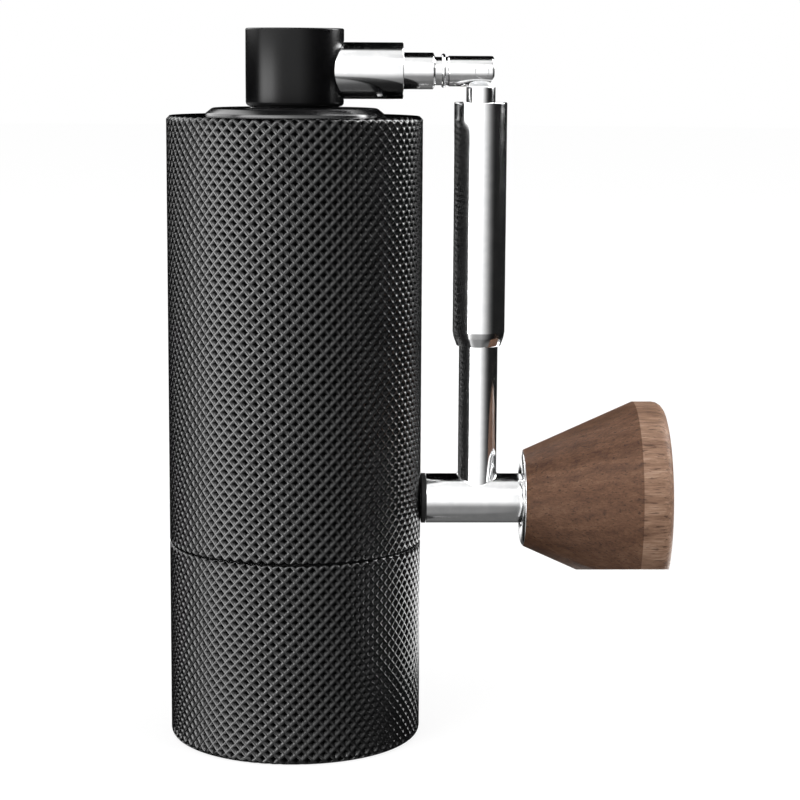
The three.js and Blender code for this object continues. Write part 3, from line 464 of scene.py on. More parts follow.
def combine(first, second, operation="DIFFERENCE"):
    """One mesh cut by, joined to or kept inside another; both are used up."""
    weld = 1e-4
    body, tool = to_object(first, "body"), to_object(second, "tool")
    step = body.modifiers.new("combine", "BOOLEAN")
    step.operation = operation
    step.object = tool
    step.solver = "EXACT"
    seen = body.evaluated_get(bpy.context.evaluated_depsgraph_get())
    bm = bmesh.new()
    bm.from_mesh(seen.to_mesh())
    for made in (body, tool):
        mesh = made.data
        bpy.data.objects.remove(made)
        bpy.data.meshes.remove(mesh)
    bmesh.ops.remove_doubles(bm, verts=bm.verts, dist=weld)
    bmesh.ops.dissolve_degenerate(bm, edges=bm.edges, dist=weld)
    return bm


def add_piece(name, bm, material, body, slot, *nodes, sharp=32):
    """A finished piece: scaled to metres, shaded, riding on its body in place of CAD nodes."""
    made = to_object(bm, name)
    mesh = made.data
    mesh.transform(Matrix.Scale(MM, 4))
    mesh.materials.append(material)
    mesh.shade_smooth()
    mesh.set_sharp_from_angle(angle=math.radians(sharp))
    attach(made, body)
    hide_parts(*nodes)


# -------------------- knurled cup and shell

KNURL_RISING = 69  # ridges round the body that climb to the right
KNURL_FALLING = 73  # and that fall to the right
KNURL_PITCH = 2.12  # height from ridge to ridge, straight up the wall
KNURL_DEPTH = 1.0  # from the ridges down to the pits
KNURL_CREST = 0.15  # share of a cell's side from a ridge's middle to its shoulder
KNURL_SHOULDER = 0.9  # height of the shoulders, of the knurl's depth
SHELL_RIM = 0.6  # the slope where the knurl ends at the shell's rim
SEAM = 0.25  # the slopes where cup and shell meet
BODY_BORE = 21.4  # bore of the shell, and of the cup's thread at its roots


def knurled_wall(low, high, planes, limit):
    """An open band of crossing ridges round pointed pits, between two heights.

    The cells lie on the lattice of p and q, whose lines of whole numbers are the ridges.
    limit gives the largest radius at a height, so the pattern runs out over an edge as it does
    on a turned part, and planes are the heights where that limit bends.
    """
    places = (0.0, KNURL_CREST, 1 - KNURL_CREST)
    parts = len(places)
    slack = 1e-9
    both = KNURL_RISING + KNURL_FALLING
    bm = bmesh.new()
    grid = {}

    def point(p, q, rise):
        share = (p - q) / both
        radius = BODY_RADIUS - KNURL_DEPTH * (1 - rise)
        return bm.verts.new((
            radius * math.cos(TURN * share), radius * math.sin(TURN * share),
            KNURL_PITCH * (p - KNURL_FALLING * share)))

    def vertex(a, b):
        p = a // parts + places[a % parts]
        q = b // parts + places[b % parts]
        turns = math.floor((p - q) / both + slack)
        key = (a - parts * KNURL_FALLING * turns, b + parts * KNURL_RISING * turns)
        if key not in grid:
            on_ridge = a % parts == 0 or b % parts == 0
            grid[key] = point(p, q, 1.0 if on_ridge else KNURL_SHOULDER)
        return grid[key]

    bottom = math.floor(low / KNURL_PITCH) - 2
    top = math.ceil(high / KNURL_PITCH) + 2
    for p in range(bottom, top + KNURL_FALLING):
        for q in range(bottom - KNURL_RISING, top):
            share = (p - q) / both
            height = KNURL_PITCH * (p - KNURL_FALLING * share)
            if not 0 <= share < 1 - slack:
                continue
            if not low - 2 * KNURL_PITCH < height < high + KNURL_PITCH:
                continue
            for i in range(parts):
                for j in range(parts):
                    a, b = parts * p + i, parts * q + j
                    corners = [vertex(a, b), vertex(a + 1, b), vertex(a + 1, b + 1),
                               vertex(a, b + 1)]
                    if i == 1 and j == 1:
                        pit = point(p + 0.5, q + 0.5, 0.0)
                        for k in range(4):
                            bm.faces.new((corners[k], corners[(k + 1) % 4], pit))
                    elif i == 1 or j == 1:
                        bm.faces.new(corners)
                    elif i == j:
                        bm.faces.new((corners[0], corners[1], corners[2]))
                        bm.faces.new((corners[0], corners[2], corners[3]))
                    else:
                        bm.faces.new((corners[0], corners[1], corners[3]))
                        bm.faces.new((corners[1], corners[2], corners[3]))
    for height in (low, high, *planes):
        ends = {low: {"clear_inner": True}, high: {"clear_outer": True}}.get(height, {})
        bmesh.ops.bisect_plane(
            bm, geom=bm.verts[:] + bm.edges[:] + bm.faces[:], dist=1e-5,
            plane_co=(0, 0, height), plane_no=(0, 0, 1), **ends)
    for vert in bm.verts:
        radius = math.hypot(vert.co.x, vert.co.y)
        scale = min(1.0, limit(vert.co.z) / radius)
        vert.co.x *= scale
        vert.co.y *= scale
    return bm


def open_loop(bm, height):
    """The edges of the open end at a height."""
    return [e for e in bm.edges if e.is_boundary and all(
        abs(v.co.z - height) < 1e-3 for v in e.verts)]


def extrude_through(bm, edges, profile):
    """Carries an open end through (radius, height) rings, and gives the last one's edges.

    A radius may be a function of the angle. Every run makes the faces in the same order.
    """
    for radius, height in profile:
        fresh = {}
        for vert in (v for edge in edges for v in edge.verts):
            if vert not in fresh:
                x, y = vert.co.xy
                r = radius(math.atan2(y, x)) if callable(radius) else radius
                scale = r / math.hypot(x, y)
                fresh[vert] = bm.verts.new((x * scale, y * scale, height))
        reached = []
        for edge in edges:
            second = edge.link_loops[0].vert
            first = edge.other_vert(second)
            bm.faces.new((first, second, fresh[second], fresh[first]))
            reached.append(bm.edges.get((fresh[first], fresh[second])))
        edges = reached
    return edges


THREAD_PITCH = 1.5
THREAD_DEPTH = 0.55
THREAD_FLANK = 5.2  # how steeply a flank climbs, in thread depths over a pitch


def thread_rise(angle, height):
    """Share of the thread's depth at a place on its cylinder: flat crests and sloping flanks."""
    turn = (height / THREAD_PITCH - angle / TURN) % 1
    return min(1.0, max(0.0, 2.2 - THREAD_FLANK * abs(turn - 0.5)))


def outer_shell():
    """The body's knurled tube, with the filling mouth at the top."""
    low, high = shell_low.z, shell_high.z
    mouth, lip = 16.9, 2.5
    lead = 0.3  # chamfer of the bore's lower end

    def limit(z):
        return BODY_RADIUS - max(0.0, SHELL_RIM - (high - z), SEAM - (z - low))

    bm = knurled_wall(low, high, (low + SEAM, high - SHELL_RIM / 2, high - SHELL_RIM), limit)
    top = rounded([
        (BODY_RADIUS - SHELL_RIM, high), (BODY_RADIUS - 1.4 * SHELL_RIM, high),
        (mouth, high, 0.3), (mouth, high - lip, 0.15), (BODY_BORE, high - lip),
        (BODY_BORE, low + 2)])[1:]
    inner = extrude_through(bm, open_loop(bm, high), top)
    outer = extrude_through(
        bm, open_loop(bm, low), [(BODY_BORE + lead, low), (BODY_BORE, low + lead)])
    bmesh.ops.bridge_loops(bm, edges=inner + outer)
    return bm


def catch_cup():
    """The knurled cup: a round foot edge, a step for the gasket, and the thread inside."""
    high = cup_high.z
    foot = 1.2  # radius of the foot's edge
    step, step_depth = 22.6, 0.7
    floor, corner = 2.5, 4.0
    top, bottom, steps = high - 1.3, high - 8.3, 28  # the thread

    def limit(z):
        drop = max(0.0, foot - z)
        curve = foot - math.sqrt(max(0.0, foot * foot - drop * drop))
        return BODY_RADIUS - max(curve, SEAM - (high - z), 0.0)

    bm = knurled_wall(0.0, high, (0.1, 0.3, 0.6, foot, high - SEAM), limit)
    under = extrude_through(bm, open_loop(bm, 0.0), [(19, 0), (12, 0), (5, 0), (0.5, 0)])
    bmesh.ops.holes_fill(bm, edges=under)
    mouth = rounded([
        (BODY_RADIUS - SEAM, high), (step, high, 0.1), (step, high - step_depth),
        (BODY_BORE, high - step_depth, 0.12), (BODY_BORE, high - 1.2)])[1:]
    edges = extrude_through(bm, open_loop(bm, high), mouth)
    threads = []
    for k in range(steps + 1):
        height = top + (bottom - top) * k / steps
        depth = THREAD_DEPTH * min(1.0, 4 * k / steps, 4 * (steps - k) / steps)
        threads.append((
            lambda angle, z=height, d=depth: BODY_BORE + d * thread_rise(-angle, z), height))
    edges = extrude_through(bm, edges, threads)
    inside = rounded([(BODY_BORE, bottom), (BODY_BORE, floor, corner), (0.5, floor)], 8)[1:]
    edges = extrude_through(bm, edges, inside)
    bmesh.ops.holes_fill(bm, edges=edges)
    return bm


def cup_gasket():
    """The ring seal, with rounded edges."""
    width, edge = 1.0, 0.12
    outer = gasket_high.x
    return lathe([
        (outer, gasket_low.z, edge), (outer, gasket_high.z, edge),
        (outer - width, gasket_high.z, edge), (outer - width, gasket_low.z, edge)], 128)


def chamber():
    """The grinding chamber; the thread cut into its collar fits the cup's."""
    low, high, radius = chamber_low.z, chamber_high.z, chamber_high.x
    burrs, hopper, mouth = radius - 1.8, radius - 2.8, radius - 2.3
    shelf = upper_low.z - 0.3  # under the upper carrier
    ledge = lower_low.z + 4.3  # over the lower carrier
    start, length, steps = low + 0.8, 6.6, 77  # the thread

    def cut(angle, at, height):
        share = (height - start) / length
        if at < radius or not 0 <= share <= 1:
            return at
        fade = min(1.0, 5 * share, 5 * (1 - share))
        return at - THREAD_DEPTH * fade * (1 - thread_rise(-angle, height))

    thread = [(radius, start + length * k / steps) for k in range(steps + 1)]
    return lathe([
        (burrs, low, 0.2), (radius - 0.3, low), (radius, low + 0.3), *thread, (radius, high),
        (mouth, high, 0.3), (mouth, shelf), (hopper, shelf), (hopper, ledge), (burrs, ledge)],
        144, radius_at=cut)


def grind_dial():
    """The grind-setting dial, with fifteen finger scallops and a hollow underneath."""
    low, high, radius = dial_low.z, dial_high.z, dial_high.y
    count, scallop, depth = 15, 1.1, 0.5
    bore, boss, wall, hollow = 3.7, 6.7, 2.4, 2.4
    pocket_inner, pocket_outer, pocket = 5.2, 7.6, 2.2  # the ring pocket for the detent balls
    centre = radius + scallop - depth

    def scalloped(angle, at, height):
        step = TURN / count
        off = (angle + step / 2) % step - step / 2
        across = centre * math.sin(off)
        if at < radius - 1 or abs(across) >= scallop:
            return at
        return min(at, centre * math.cos(off) - math.sqrt(scallop ** 2 - across ** 2))

    return lathe([
        (bore, low, 0.2), (boss, low, 0.2), (boss, low + hollow, 0.3),
        (radius - wall, low + hollow, 0.3), (radius - wall, low, 0.25), (radius, low, 0.5),
        (radius, high, 0.5), (pocket_outer, high, 0.1), (pocket_outer, high - pocket),
        (pocket_inner, high - pocket), (pocket_inner, high, 0.1), (bore, high, 0.1)],
        360, radius_at=scalloped)


# -------------------- head, arm and knob

def lid():
    """The flat lid, with a low ring on which the crank head sits down."""
    low, high, rim = lid_low.z, lid_high.z, shell_high.z
    bore, boss, boss_low = 3.8, 6.6, low + 2.4
    under = high - 2.3  # underside of the plate
    skirt_inner, skirt_outer = 14.6, 16.5
    seat = hub_low.z - 0.06  # top of the ring
    return lathe([
        (bore, boss_low), (boss, boss_low, 0.3), (boss, under, 0.8), (skirt_inner, under, 0.5),
        (skirt_inner, low, 0.2), (skirt_outer, low, 0.25), (skirt_outer, rim, 0.2),
        (skirt_outer - 0.2, rim + 0.45, 0.3), (15.1, high, 0.9), (8.3, high, 0.1),
        (8.2, seat, 0.1), (bore, seat, 0.1)], 128)


HUB_RADIUS = 9
HUB_SOCKET = 3.76  # from the axis to the hexagon's corners
FERRULE_RADIUS = 5.15
SPIGOT_RADIUS = 3.36
GROOVE_RADIUS = 2.6
HINGE_RADIUS = 2.8
PIN_RADIUS = 1.2
TONGUE_HALF = 0.9  # half the width of the arm's tongue
SLOT_HALF = 1.0  # and of the slot that it lies in
NECK_RADIUS = 2.67
ROD_RADIUS = 3.62
SLEEVE_BORE = 3.75
SLEEVE_RADIUS = 4.87
THROUGH = 4  # half the length of a bar or bore right through the hinge


def crank_hub():
    """The hub, with its hexagonal socket and the seat of the ferrule."""
    low, high = hub_low.z, hub_high.z
    bm = lathe([(0, low), (HUB_RADIUS, low, 0.8), (HUB_RADIUS, high, 0.3), (0, high)], 160)
    socket = prism(6, HUB_SOCKET, low - 1, ferrule_high.z - 2.4, math.pi / 6)
    bm = combine(bm, socket)
    start, seat = ferrule_low.x - 0.2, FERRULE_RADIUS + 0.2
    tool = lathe([(0, start), (seat, start), (seat, HUB_RADIUS + 1), (0, HUB_RADIUS + 1)],
                 96, True, CRANK_LINE)
    return combine(bm, tool)


def hub_ferrule():
    """The thick ferrule, bored for the spigot."""
    start, end = ferrule_low.x, ferrule_high.x
    bore = SPIGOT_RADIUS + 0.2
    return lathe([
        (0, start), (FERRULE_RADIUS, start, 0.2), (FERRULE_RADIUS, end, 0.16),
        (bore, end, 0.12), (bore, end - 11.2), (0, end - 11.2)],
        96, True, CRANK_LINE)


def hinge_spigot():
    """The hinge rod: grooved for the detent ring, and slotted for the arm's tongue.

    The slot is open below and at the end, and closed over the top by a thin bridge.
    """
    start, end = spigot_low.x, spigot_high.x
    groove = ferrule_high.x + 5.5
    rod = groove + 2.6
    bm = lathe([
        (0, start), (SPIGOT_RADIUS, start, 0.2), (SPIGOT_RADIUS, groove, 0.12),
        (GROOVE_RADIUS, groove + 0.3, 0.1), (GROOVE_RADIUS, rod, 0.1),
        (HINGE_RADIUS, rod + 0.3, 0.1), (HINGE_RADIUS, end, 0.4), (0, end)],
        96, True, CRANK_LINE)
    roof = CRANK_HEIGHT + 2.42
    slot = block((PIN_X - 2.65, -SLOT_HALF, CRANK_HEIGHT - 8), (end + 1, SLOT_HALF, roof))
    bm = combine(bm, slot)
    corner = Vector((end, 0, CRANK_HEIGHT - 0.83))  # the bevel under the hinge's end
    bevel = block(corner - Vector((0, 4, 6)), corner + Vector((3, 4, 6)))
    bmesh.ops.rotate(bevel, verts=bevel.verts, cent=corner,
                     matrix=Matrix.Rotation(math.radians(30.5), 3, "Y"))
    bm = combine(bm, bevel)
    return combine(bm, cross_rod(PIN_RADIUS + 0.07, THROUGH))


def hinge_pin():
    """The pin, dressed flush with the hinge rod's round sides."""
    flush, start, end = HINGE_RADIUS - 0.01, PIN_X - THROUGH, PIN_X + THROUGH
    dressed = lathe([(0, start), (flush, start), (flush, end), (0, end)],
                    192, True, CRANK_LINE)
    return combine(cross_rod(PIN_RADIUS, THROUGH), dressed, "INTERSECT")


def cross_rod(radius, reach, fillet=0.0):
    """A round bar along Y through the hinge."""
    bm = lathe([(0, -reach), (radius, -reach, fillet), (radius, reach, fillet), (0, reach)], 48)
    bmesh.ops.transform(bm, verts=bm.verts, matrix=Matrix.Translation(
        (PIN_X, 0, CRANK_HEIGHT)) @ Matrix.Rotation(math.pi / 2, 4, "X"))
    return bm


def detent_ring():
    """A round-wire ring, open on one side."""
    bm = bmesh.new()
    middle = Vector(((detent_low.x + detent_high.x) / 2, 0, CRANK_HEIGHT))
    wire = (detent_high.x - detent_low.x) / 2
    circle = detent_high.y - wire
    steps, sides, gap = 64, 12, 40
    rings = []
    for k in range(steps + 1):
        angle = math.radians(gap / 2 + (360 - gap) * k / steps)
        out = Vector((0, math.cos(angle - math.pi / 2), math.sin(angle - math.pi / 2)))
        rings.append([
            bm.verts.new(middle + out * (circle + wire * math.cos(TURN * i / sides))
                         + Vector((wire * math.sin(TURN * i / sides), 0, 0)))
            for i in range(sides)])
    for first, second in zip(rings, rings[1:]):
        skirt(bm, first, second)
    bm.faces.new(rings[0])
    bm.faces.new(rings[-1])
    return bm


def saddled_rod(radius, top, fillet):
    """The arm's rod, flowing into the cross tube with a rolled fillet."""
    bm = bmesh.new()
    segments, steps = 96, 6
    sunk = 0.8  # the root lies inside the tube, at this share of its radius
    grown = radius + fillet
    rings = [[bm.verts.new((0, 0, top))], []]
    arcs = [[] for _ in range(steps + 1)]
    root = []
    for k in range(segments):
        angle = TURN * k / segments
        out = Vector((math.cos(angle), math.sin(angle), 0))
        rings[1].append(bm.verts.new(out * radius + Vector((0, 0, top))))
        centre = out * grown
        centre.z = math.sqrt((TUBE_RADIUS + fillet) ** 2 - centre.y ** 2)
        on_rod = -out
        on_tube = Vector((0, -centre.y, -centre.z)).normalized()
        for step in range(steps + 1):
            toward = on_rod.slerp(on_tube, step / steps)
            arcs[step].append(bm.verts.new(centre + toward * fillet))
        below = centre + on_tube * fillet
        root.append(bm.verts.new((below.x, below.y * sunk, below.z * sunk)))
    rings += arcs + [root, [bm.verts.new((0, 0, 0))]]
    for first, second in zip(rings, rings[1:]):
        skirt(bm, first, second)
    bmesh.ops.translate(bm, verts=bm.verts, vec=(ARM_X, 0, KNOB_HEIGHT))
    return bm


def crank_arm():
    """The eye and neck, the rod, and the cross tube with its stepped bore."""
    fold = CRANK_HEIGHT
    eye_radius = 2.35
    shoulder = fold - 10.6  # where the neck swells into the rod
    top = shoulder - 0.95
    neck_top = fold - 2.85
    eye = cross_rod(eye_radius, TONGUE_HALF, 0.15)
    tongue = combine(
        block((ARM_X - eye_radius, -TONGUE_HALF, fold - 3.5),
              (ARM_X + eye_radius, TONGUE_HALF, fold)),
        lathe([(0, fold - 4), (NECK_RADIUS, fold - 4), (NECK_RADIUS, fold + 1), (0, fold + 1)],
              96, origin=ARM_LINE), "INTERSECT")
    bm = combine(eye, tongue, "UNION")
    bm = combine(bm, cross_rod(PIN_RADIUS + 0.05, THROUGH))
    neck = lathe([
        (0, top - 1), (ROD_RADIUS, top - 1), (ROD_RADIUS, top, 0.3), (NECK_RADIUS, shoulder, 0.2),
        (NECK_RADIUS, neck_top, 0.12), (0, neck_top)], 96, origin=ARM_LINE)
    bm = combine(bm, neck, "UNION")
    rod = saddled_rod(ROD_RADIUS, top - 0.5 - KNOB_HEIGHT, 0.5)
    inner, outer = arm_low.x, arm_high.x
    tube = lathe([(0, inner), (TUBE_RADIUS, inner, 0.06), (TUBE_RADIUS, outer, 0.3), (0, outer)],
                 128, True, KNOB_LINE)
    tee = combine(tube, rod, "UNION")
    head_bore, head_seat = 3.6, inner + 5.1  # for the screw's head
    bush_bore, bush_seat = 3.4, outer - 3.2  # for the bush
    screw_bore = 2.3
    bore = lathe([
        (0, inner - 1), (head_bore, inner - 1), (head_bore, head_seat), (screw_bore, head_seat),
        (screw_bore, bush_seat), (bush_bore, bush_seat), (bush_bore, outer + 1), (0, outer + 1)],
        64, True, KNOB_LINE)
    return combine(bm, combine(tee, bore), "UNION")


def lock_sleeve():
    """The sleeve, tapered at its foot, with an O-ring groove inside near the top."""
    low, high = sleeve_low.z, sleeve_high.z
    groove = SLEEVE_BORE + 0.25
    return lathe([
        (SLEEVE_BORE, low, 0.1), (4.12, low, 0.2), (4.67, low + 1.55, 0.9),
        (SLEEVE_RADIUS, low + 2.6, 0.5), (SLEEVE_RADIUS, high, 0.2), (SLEEVE_BORE, high, 0.15),
        (SLEEVE_BORE, high - 7.2), (groove, high - 7.45), (groove, high - 8.25),
        (SLEEVE_BORE, high - 8.5)], 128, origin=ARM_LINE)


def arm_bumper():
    """The rubber cap, a little proud of the cross tube's inner end."""
    start, end = bumper_low.x - 0.22, bumper_high.x
    head, back, stem = TUBE_RADIUS + 0.03, end - 1.7, 3.4
    return lathe([
        (0, start), (head, start, 0.15), (head, back, 0.03), (stem, back), (stem, end, 0.2),
        (0, end)], 96, True, KNOB_LINE)


def knob_collar():
    """The polished collar: a full round about the knob's narrow end, dished for the tube."""
    face = wood_low.x - KNOB_LEAD
    crest, half, bulge, steps = 7.1, 1.8, 0.5, 36
    stem, bore, dish, dish_floor = 7, 4.1, 5.3, face + 2.2
    points = [(crest - half * math.cos(math.pi * k / steps),
               face - bulge * math.sin(math.pi * k / steps)) for k in range(steps + 1)]
    return lathe([
        *points, (stem, face), (stem, collar_high.x), (bore, collar_high.x),
        (bore, dish_floor), (dish, dish_floor)], 256, True, KNOB_LINE)


def knob_wood():
    """The turned walnut knob, planed flat on one side, which hangs underneath at rest."""
    start, end = wood_low.x, wood_high.x - KNOB_DOME
    cone = end - KNOB_BAND
    lead = start - KNOB_LEAD
    narrow, wide = 9.05, 18.2
    recess, seat = 7.2, start + 4.7  # for the collar
    bore, bottom = 4.1, start + 17.0  # for the threaded insert
    bm = lathe([
        (recess, lead), (narrow, lead, 0.3), (wide, cone, 0.25), (wide, end, 2.1),
        (10.9, end + 0.55, 8), (0, end + KNOB_DOME), (0, bottom), (bore, bottom), (bore, seat),
        (recess, seat)], 160, True)
    planed = block((start - 5, -30, -40), (end + 9, 30, -KNOB_FLAT))
    bmesh.ops.rotate(
        planed, verts=planed.verts, cent=(0, 0, 0), matrix=Matrix.Rotation(KNOB_TURN, 3, "X"))
    bm = combine(bm, planed)
    bmesh.ops.translate(bm, verts=bm.verts, vec=KNOB_LINE)
    return bm


# -------------------- stage

WORLD_LIGHT = 0.62  # what the white world gives where it isn't seen directly
FLOOR_RADIUS = 4.0
FLOOR_GREY = (0.3, 0.3, 0.3)
FLOOR_GLOW = 0.8  # added where the floor is seen, which makes it nearly white
DOME_RADIUS = 3.5
LAMP_AIM = Vector((0.02, 0, 0.07))
LAMPS = (  # name, place, size and power
    ("key", (-0.9, -0.9, 0.9), 0.9, 9.0),
    ("fill", (1.1, -0.6, 0.5), 0.8, 9.0),
)

# What the dome shows. Azimuths run from -180 to 180 degrees: 0 is in front, 90 to the right.
WALLS = (
    (-180, 2.4), (-173, 2.4), (-166, 0.012), (-112, 0.012), (-92, 0.05), (-82, 6.0), (-78, 7.2),
    (-54, 7.2), (-44, 3.0), (-30, 1.3), (-10, 1.2), (11, 1.2), (17, 0.95), (26, 0.66),
    (35, 0.38), (45, 0.156), (55, 0.05), (65, 0.014), (104, 0.009), (166, 0.009), (173, 2.4),
    (180, 2.4))
WALL_LIMIT = 1.5  # the walls are no brighter than this above the horizon
CROWN = 1.0
FRONT_BOX = (  # levels by azimuth, then shares by elevation
    ((-88, 0.0), (-80, 5.5), (-25, 5.5), (0, 2.75), (40, 1.375), (60, 0.55), (90, 0.0)),
    ((22, 0.0), (31, 1.0), (42, 1.0), (56, 0.25)))
LEFT_BOX = (
    ((-164, 0.0), (-156, 2.6), (-100, 2.6), (-92, 0.0)),
    ((6, 0.0), (14, 1.0), (64, 1.0), (72, 0.0)))
WINDOW = (
    ((98, 0.0), (104, 1.0), (122, 1.0), (128, 0.0)),
    ((8, 0.0), (15, 1.0), (70, 1.0), (74, 0.0)))
WINDOW_LEVEL = 13.0
BACK_LEVEL = 0.0005
TABLE = (  # shares of the level by elevation, from straight down at 0 to the horizon at 1
    (0.0, 0.06), (0.12, 0.08), (0.24, 0.17), (0.36, 0.22), (0.60, 0.21), (0.68, 0.26),
    (0.80, 0.55), (0.88, 0.82), (0.93, 1.0))
FAR_TABLE = (
    ((-180, 1.0), (-165, 1.0), (-158, 0.0), (158, 0.0), (165, 1.0), (180, 1.0)),
    ((-14, 1.0), (-9.5, 0.0)))
FAR_TABLE_LEVEL = 0.1
NEAR_TABLE_LEVEL = 0.15
PATCH_CORNERS = ((0.058, 0.008), (0.16, 0.008), (0.16, 0.13), (0.058, 0.13))
PATCH_HEIGHT = 0.0004
PATCH_LEVEL = 4.5


def studio():
    """A pale floor, a white world, two soft lamps, and a dome that only reflections show."""
    world = bpy.data.worlds.new("studio")
    bpy.context.scene.world = world
    world.use_nodes = True
    tree = world.node_tree
    background = tree.nodes["Background"]
    background.inputs["Color"].default_value = (1, 1, 1, 1)
    tree.links.new(mix_value(tree, seen_directly(tree), WORLD_LIGHT, 1.0),
                   background.inputs["Strength"])
    make_floor()
    make_dome()
    make_lit_patch()
    for name, place, size, power in LAMPS:
        lamp = bpy.data.objects.new(name, bpy.data.lights.new(name, "AREA"))
        bpy.context.scene.collection.objects.link(lamp)
        lamp.data.size = size
        lamp.data.energy = power
        lamp.location = place
        aim = LAMP_AIM - Vector(place)
        lamp.rotation_euler = aim.to_track_quat("-Z", "Y").to_euler()
        lamp.visible_glossy = False


def seen_directly(tree):
    """1 where the camera looks, straight or by a mirror or through glass, and 0 elsewhere."""
    path = add_node(tree, "ShaderNodeLightPath").outputs
    turned = maths(tree, "ADD", path["Is Glossy Ray"], path["Is Transmission Ray"])
    return maths(tree, "ADD", path["Is Camera Ray"], turned, clamp=True)


def bare_material(name):
    """A material whose shader is still to be made."""
    material = bpy.data.materials.new(name)
    material.use_nodes = True
    material.node_tree.nodes.remove(material.node_tree.nodes["Principled BSDF"])
    return material


def emission(tree, level):
    """A white glow."""
    made = add_node(tree, "ShaderNodeEmission", {"Color": (1, 1, 1, 1), "Strength": level})
    return made.outputs[0]


def cover(thing, material, shader):
    """Finish a material with its shader, and give it to an object."""
    tree = material.node_tree
    tree.links.new(shader, tree.nodes["Material Output"].inputs["Surface"])
    thing.data.materials.append(material)


def show_in_reflections_only(thing):
    """Hide an object from everything but polished surfaces."""
    thing.visible_camera = False
    thing.visible_diffuse = False
    thing.visible_transmission = False
    thing.visible_volume_scatter = False
    thing.visible_shadow = False


def make_floor():
    """A pale disc that takes the soft shadow."""
    bm = bmesh.new()
    bmesh.ops.create_circle(bm, cap_ends=True, segments=96, radius=FLOOR_RADIUS)
    floor = to_object(bm, "floor")
    material = bare_material("floor")
    tree = material.node_tree
    matt = add_node(tree, "ShaderNodeBsdfDiffuse", {"Color": (*FLOOR_GREY, 1)})
    glow = emission(tree, maths(tree, "MULTIPLY", seen_directly(tree), FLOOR_GLOW))
    both = add_node(tree, "ShaderNodeAddShader", {0: matt.outputs[0], 1: glow})
    cover(floor, material, both.outputs[0])
    floor.visible_glossy = False


def by_azimuth(tree, share, stops):
    """Values given at azimuths in degrees; share is the azimuth from 0 at -180 to 1 at 180."""
    peak = max(value for _, value in stops)
    found = ramp(tree, share, [((a + 180) / 360, value / peak) for a, value in stops])
    return maths(tree, "MULTIPLY", found, peak)


def by_elevation(tree, elevation, stops):
    """Shares from 0 to 1 given at elevations in degrees."""
    return ramp(tree, map_range(tree, elevation, -90.0, 90.0, smooth=False),
                [((e + 90) / 180, value) for e, value in stops])


def make_dome():
    """A great dome that only polished surfaces see.

    Its walls are bright on the left, and dark on the right and behind. There is a softbox in
    front, one on the left and a narrow window on the right; below, a table darkens downward.
    """
    bm = bmesh.new()
    bmesh.ops.create_uvsphere(bm, u_segments=64, v_segments=32, radius=DOME_RADIUS)
    dome = to_object(bm, "dome")
    for face in dome.data.polygons:
        face.use_smooth = True
    material = bare_material("dome")
    tree = material.node_tree
    place = add_node(tree, "ShaderNodeTexCoord").outputs["Object"]
    way = add_node(tree, "ShaderNodeVectorMath", {0: place}, operation="NORMALIZE").outputs[0]
    x, y, z = add_node(tree, "ShaderNodeSeparateXYZ", {0: way}).outputs
    front = maths(tree, "MULTIPLY", y, -1.0)
    share = map_range(tree, maths(tree, "ARCTAN2", x, front), -math.pi, math.pi, smooth=False)
    elevation = maths(tree, "MULTIPLY", maths(tree, "ARCSINE", z), 180 / math.pi)
    over = maths(tree, "MULTIPLY", maths(tree, "ARCTAN2", z, front), 180 / math.pi)

    def region(around, upward):
        return maths(tree, "MULTIPLY", by_azimuth(tree, share, around),
                     by_elevation(tree, elevation, upward))

    walls = by_azimuth(tree, share, WALLS)
    walls = mix_value(tree, map_range(tree, elevation, -1.0, 9.0), walls,
                      maths(tree, "MINIMUM", walls, WALL_LIMIT))
    level = mix_value(tree, map_range(tree, elevation, 52.0, 74.0), walls, CROWN)
    for box in (FRONT_BOX, LEFT_BOX):
        level = maths(tree, "MAXIMUM", level, region(*box))
    middle = map_range(tree, maths(tree, "ABSOLUTE", x), 0.3, 0.42, 1.0, 0.0)
    back = maths(tree, "MULTIPLY", map_range(tree, over, 88.0, 96.0, smooth=False),
                 maths(tree, "MULTIPLY", map_range(tree, elevation, 0.4, 1.2), middle))
    level = mix_value(tree, back, level, BACK_LEVEL)
    level = mix_value(tree, region(*WINDOW), level, WINDOW_LEVEL)
    down = map_range(tree, elevation, -90.0, 0.0, smooth=False)
    level = maths(tree, "MULTIPLY", level, ramp(tree, down, TABLE))
    level = mix_value(tree, region(*FAR_TABLE), level, FAR_TABLE_LEVEL)
    near = maths(tree, "SUBTRACT", z, maths(tree, "MULTIPLY", x, 0.25))
    near = map_range(tree, near, -0.86, -0.78, NEAR_TABLE_LEVEL, 0.0)
    level = maths(tree, "MAXIMUM", level, near)
    cover(dome, material, emission(tree, level))
    show_in_reflections_only(dome)


def make_lit_patch():
    """A lit part of the floor behind the cup, which only polished surfaces see."""
    bm = bmesh.new()
    bm.faces.new([bm.verts.new((x, y, PATCH_HEIGHT)) for x, y in PATCH_CORNERS])
    patch = to_object(bm, "lit_patch")
    material = bare_material("lit_patch")
    cover(patch, material, emission(material.node_tree, PATCH_LEVEL))
    show_in_reflections_only(patch)


# -------------------- making everything

bpy.context.scene.view_settings.view_transform = "Standard"
make_camera()
studio()

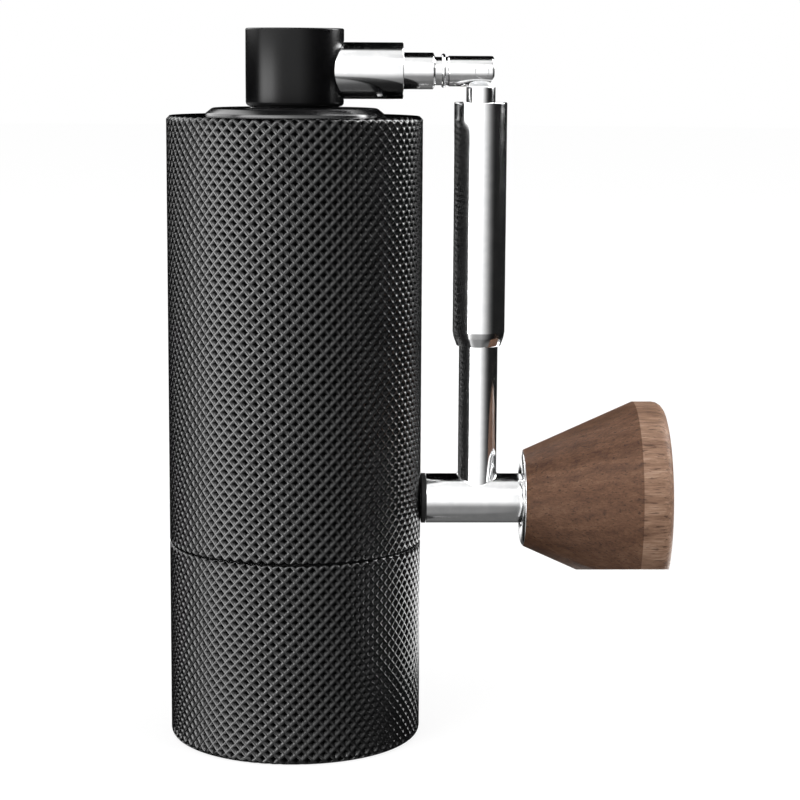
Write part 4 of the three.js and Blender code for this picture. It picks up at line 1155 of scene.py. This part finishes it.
KNURL = knurled_finish()
ANODISED = anodised_finish()
SATIN = satin_finish()
POLISHED = polished_finish()
BRUSHED = turned_finish("brushed_steel", (0.62, 0.63, 0.64), (0.4, 0.41, 0.42), 0.28)
BURR = turned_finish("burr_steel", (0.5, 0.51, 0.53), (0.3, 0.31, 0.32), 0.24)
ALUMINIUM = turned_finish("bare_aluminium", (0.72, 0.73, 0.74), (0.52, 0.53, 0.54), 0.34)
COLLAR = turned_finish("collar_steel", (0.86, 0.86, 0.86), (0.7, 0.7, 0.71), 0.2,
                       "X", KNOB_HEIGHT)
BRASS = turned_finish("brass", (0.78, 0.58, 0.28), (0.5, 0.34, 0.13), 0.28,
                      "X", KNOB_HEIGHT)
RUBBER = rubber_finish()
WALNUT = walnut_finish()

for name, maker, material, body, slot, node in (
        ("shell_knurled", outer_shell, KNURL, "grinder_body", "black_anodised", "outer_shell"),
        ("cup_knurled", catch_cup, KNURL, "catch_cup", "black_anodised", "catch_cup"),
        ("gasket_moulded", cup_gasket, RUBBER, "cup_gasket", "black_rubber", "cup_gasket"),
        ("chamber_threaded", chamber, ALUMINIUM, "grinder_body", "bare_aluminium", "chamber"),
        ("dial_scalloped", grind_dial, SATIN, "grind_dial", "black_satin", "grind_dial"),
        ("lid_turned", lid, ANODISED, "lid", "black_satin", "lid"),
        ("hub_turned", crank_hub, SATIN, "crank_head", "black_satin", "crank_hub"),
        ("ferrule_polished", hub_ferrule, POLISHED, "crank_head", "polished_steel",
         "hub_ferrule"),
        ("spigot_forked", hinge_spigot, POLISHED, "crank_head", "polished_steel",
         "hinge_spigot"),
        ("detent_wire", detent_ring, POLISHED, "crank_head", "polished_steel", "detent_ring"),
        ("arm_polished", crank_arm, POLISHED, "crank_arm", "polished_steel", "crank_arm"),
        ("sleeve_polished", lock_sleeve, POLISHED, "lock_sleeve", "polished_steel",
         "lock_sleeve"),
        ("bumper_moulded", arm_bumper, RUBBER, "crank_arm", "black_rubber", "arm_bumper"),
        ("collar_turned", knob_collar, COLLAR, "knob", "polished_steel", "knob_collar"),
        ("knob_walnut", knob_wood, WALNUT, "knob", "walnut", "knob_wood"),
        ("pin_riveted", hinge_pin, POLISHED, "crank_head", "brushed_steel", "hinge_pin")):
    add_piece(name, maker(), material, body, slot, node, sharp=55 if material is KNURL else 32)

FINISHES = {
    "black_anodised": KNURL, "black_satin": SATIN, "polished_steel": POLISHED,
    "brushed_steel": BRUSHED, "burr_steel": BURR, "bare_aluminium": ALUMINIUM,
    "brass": BRASS, "black_rubber": RUBBER, "walnut": WALNUT,
}
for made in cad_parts.values():
    for place in made.material_slots:
        if place.material:
            for slot, material in FINISHES.items():
                if place.material.name.startswith(slot):
                    place.material = material
                    break
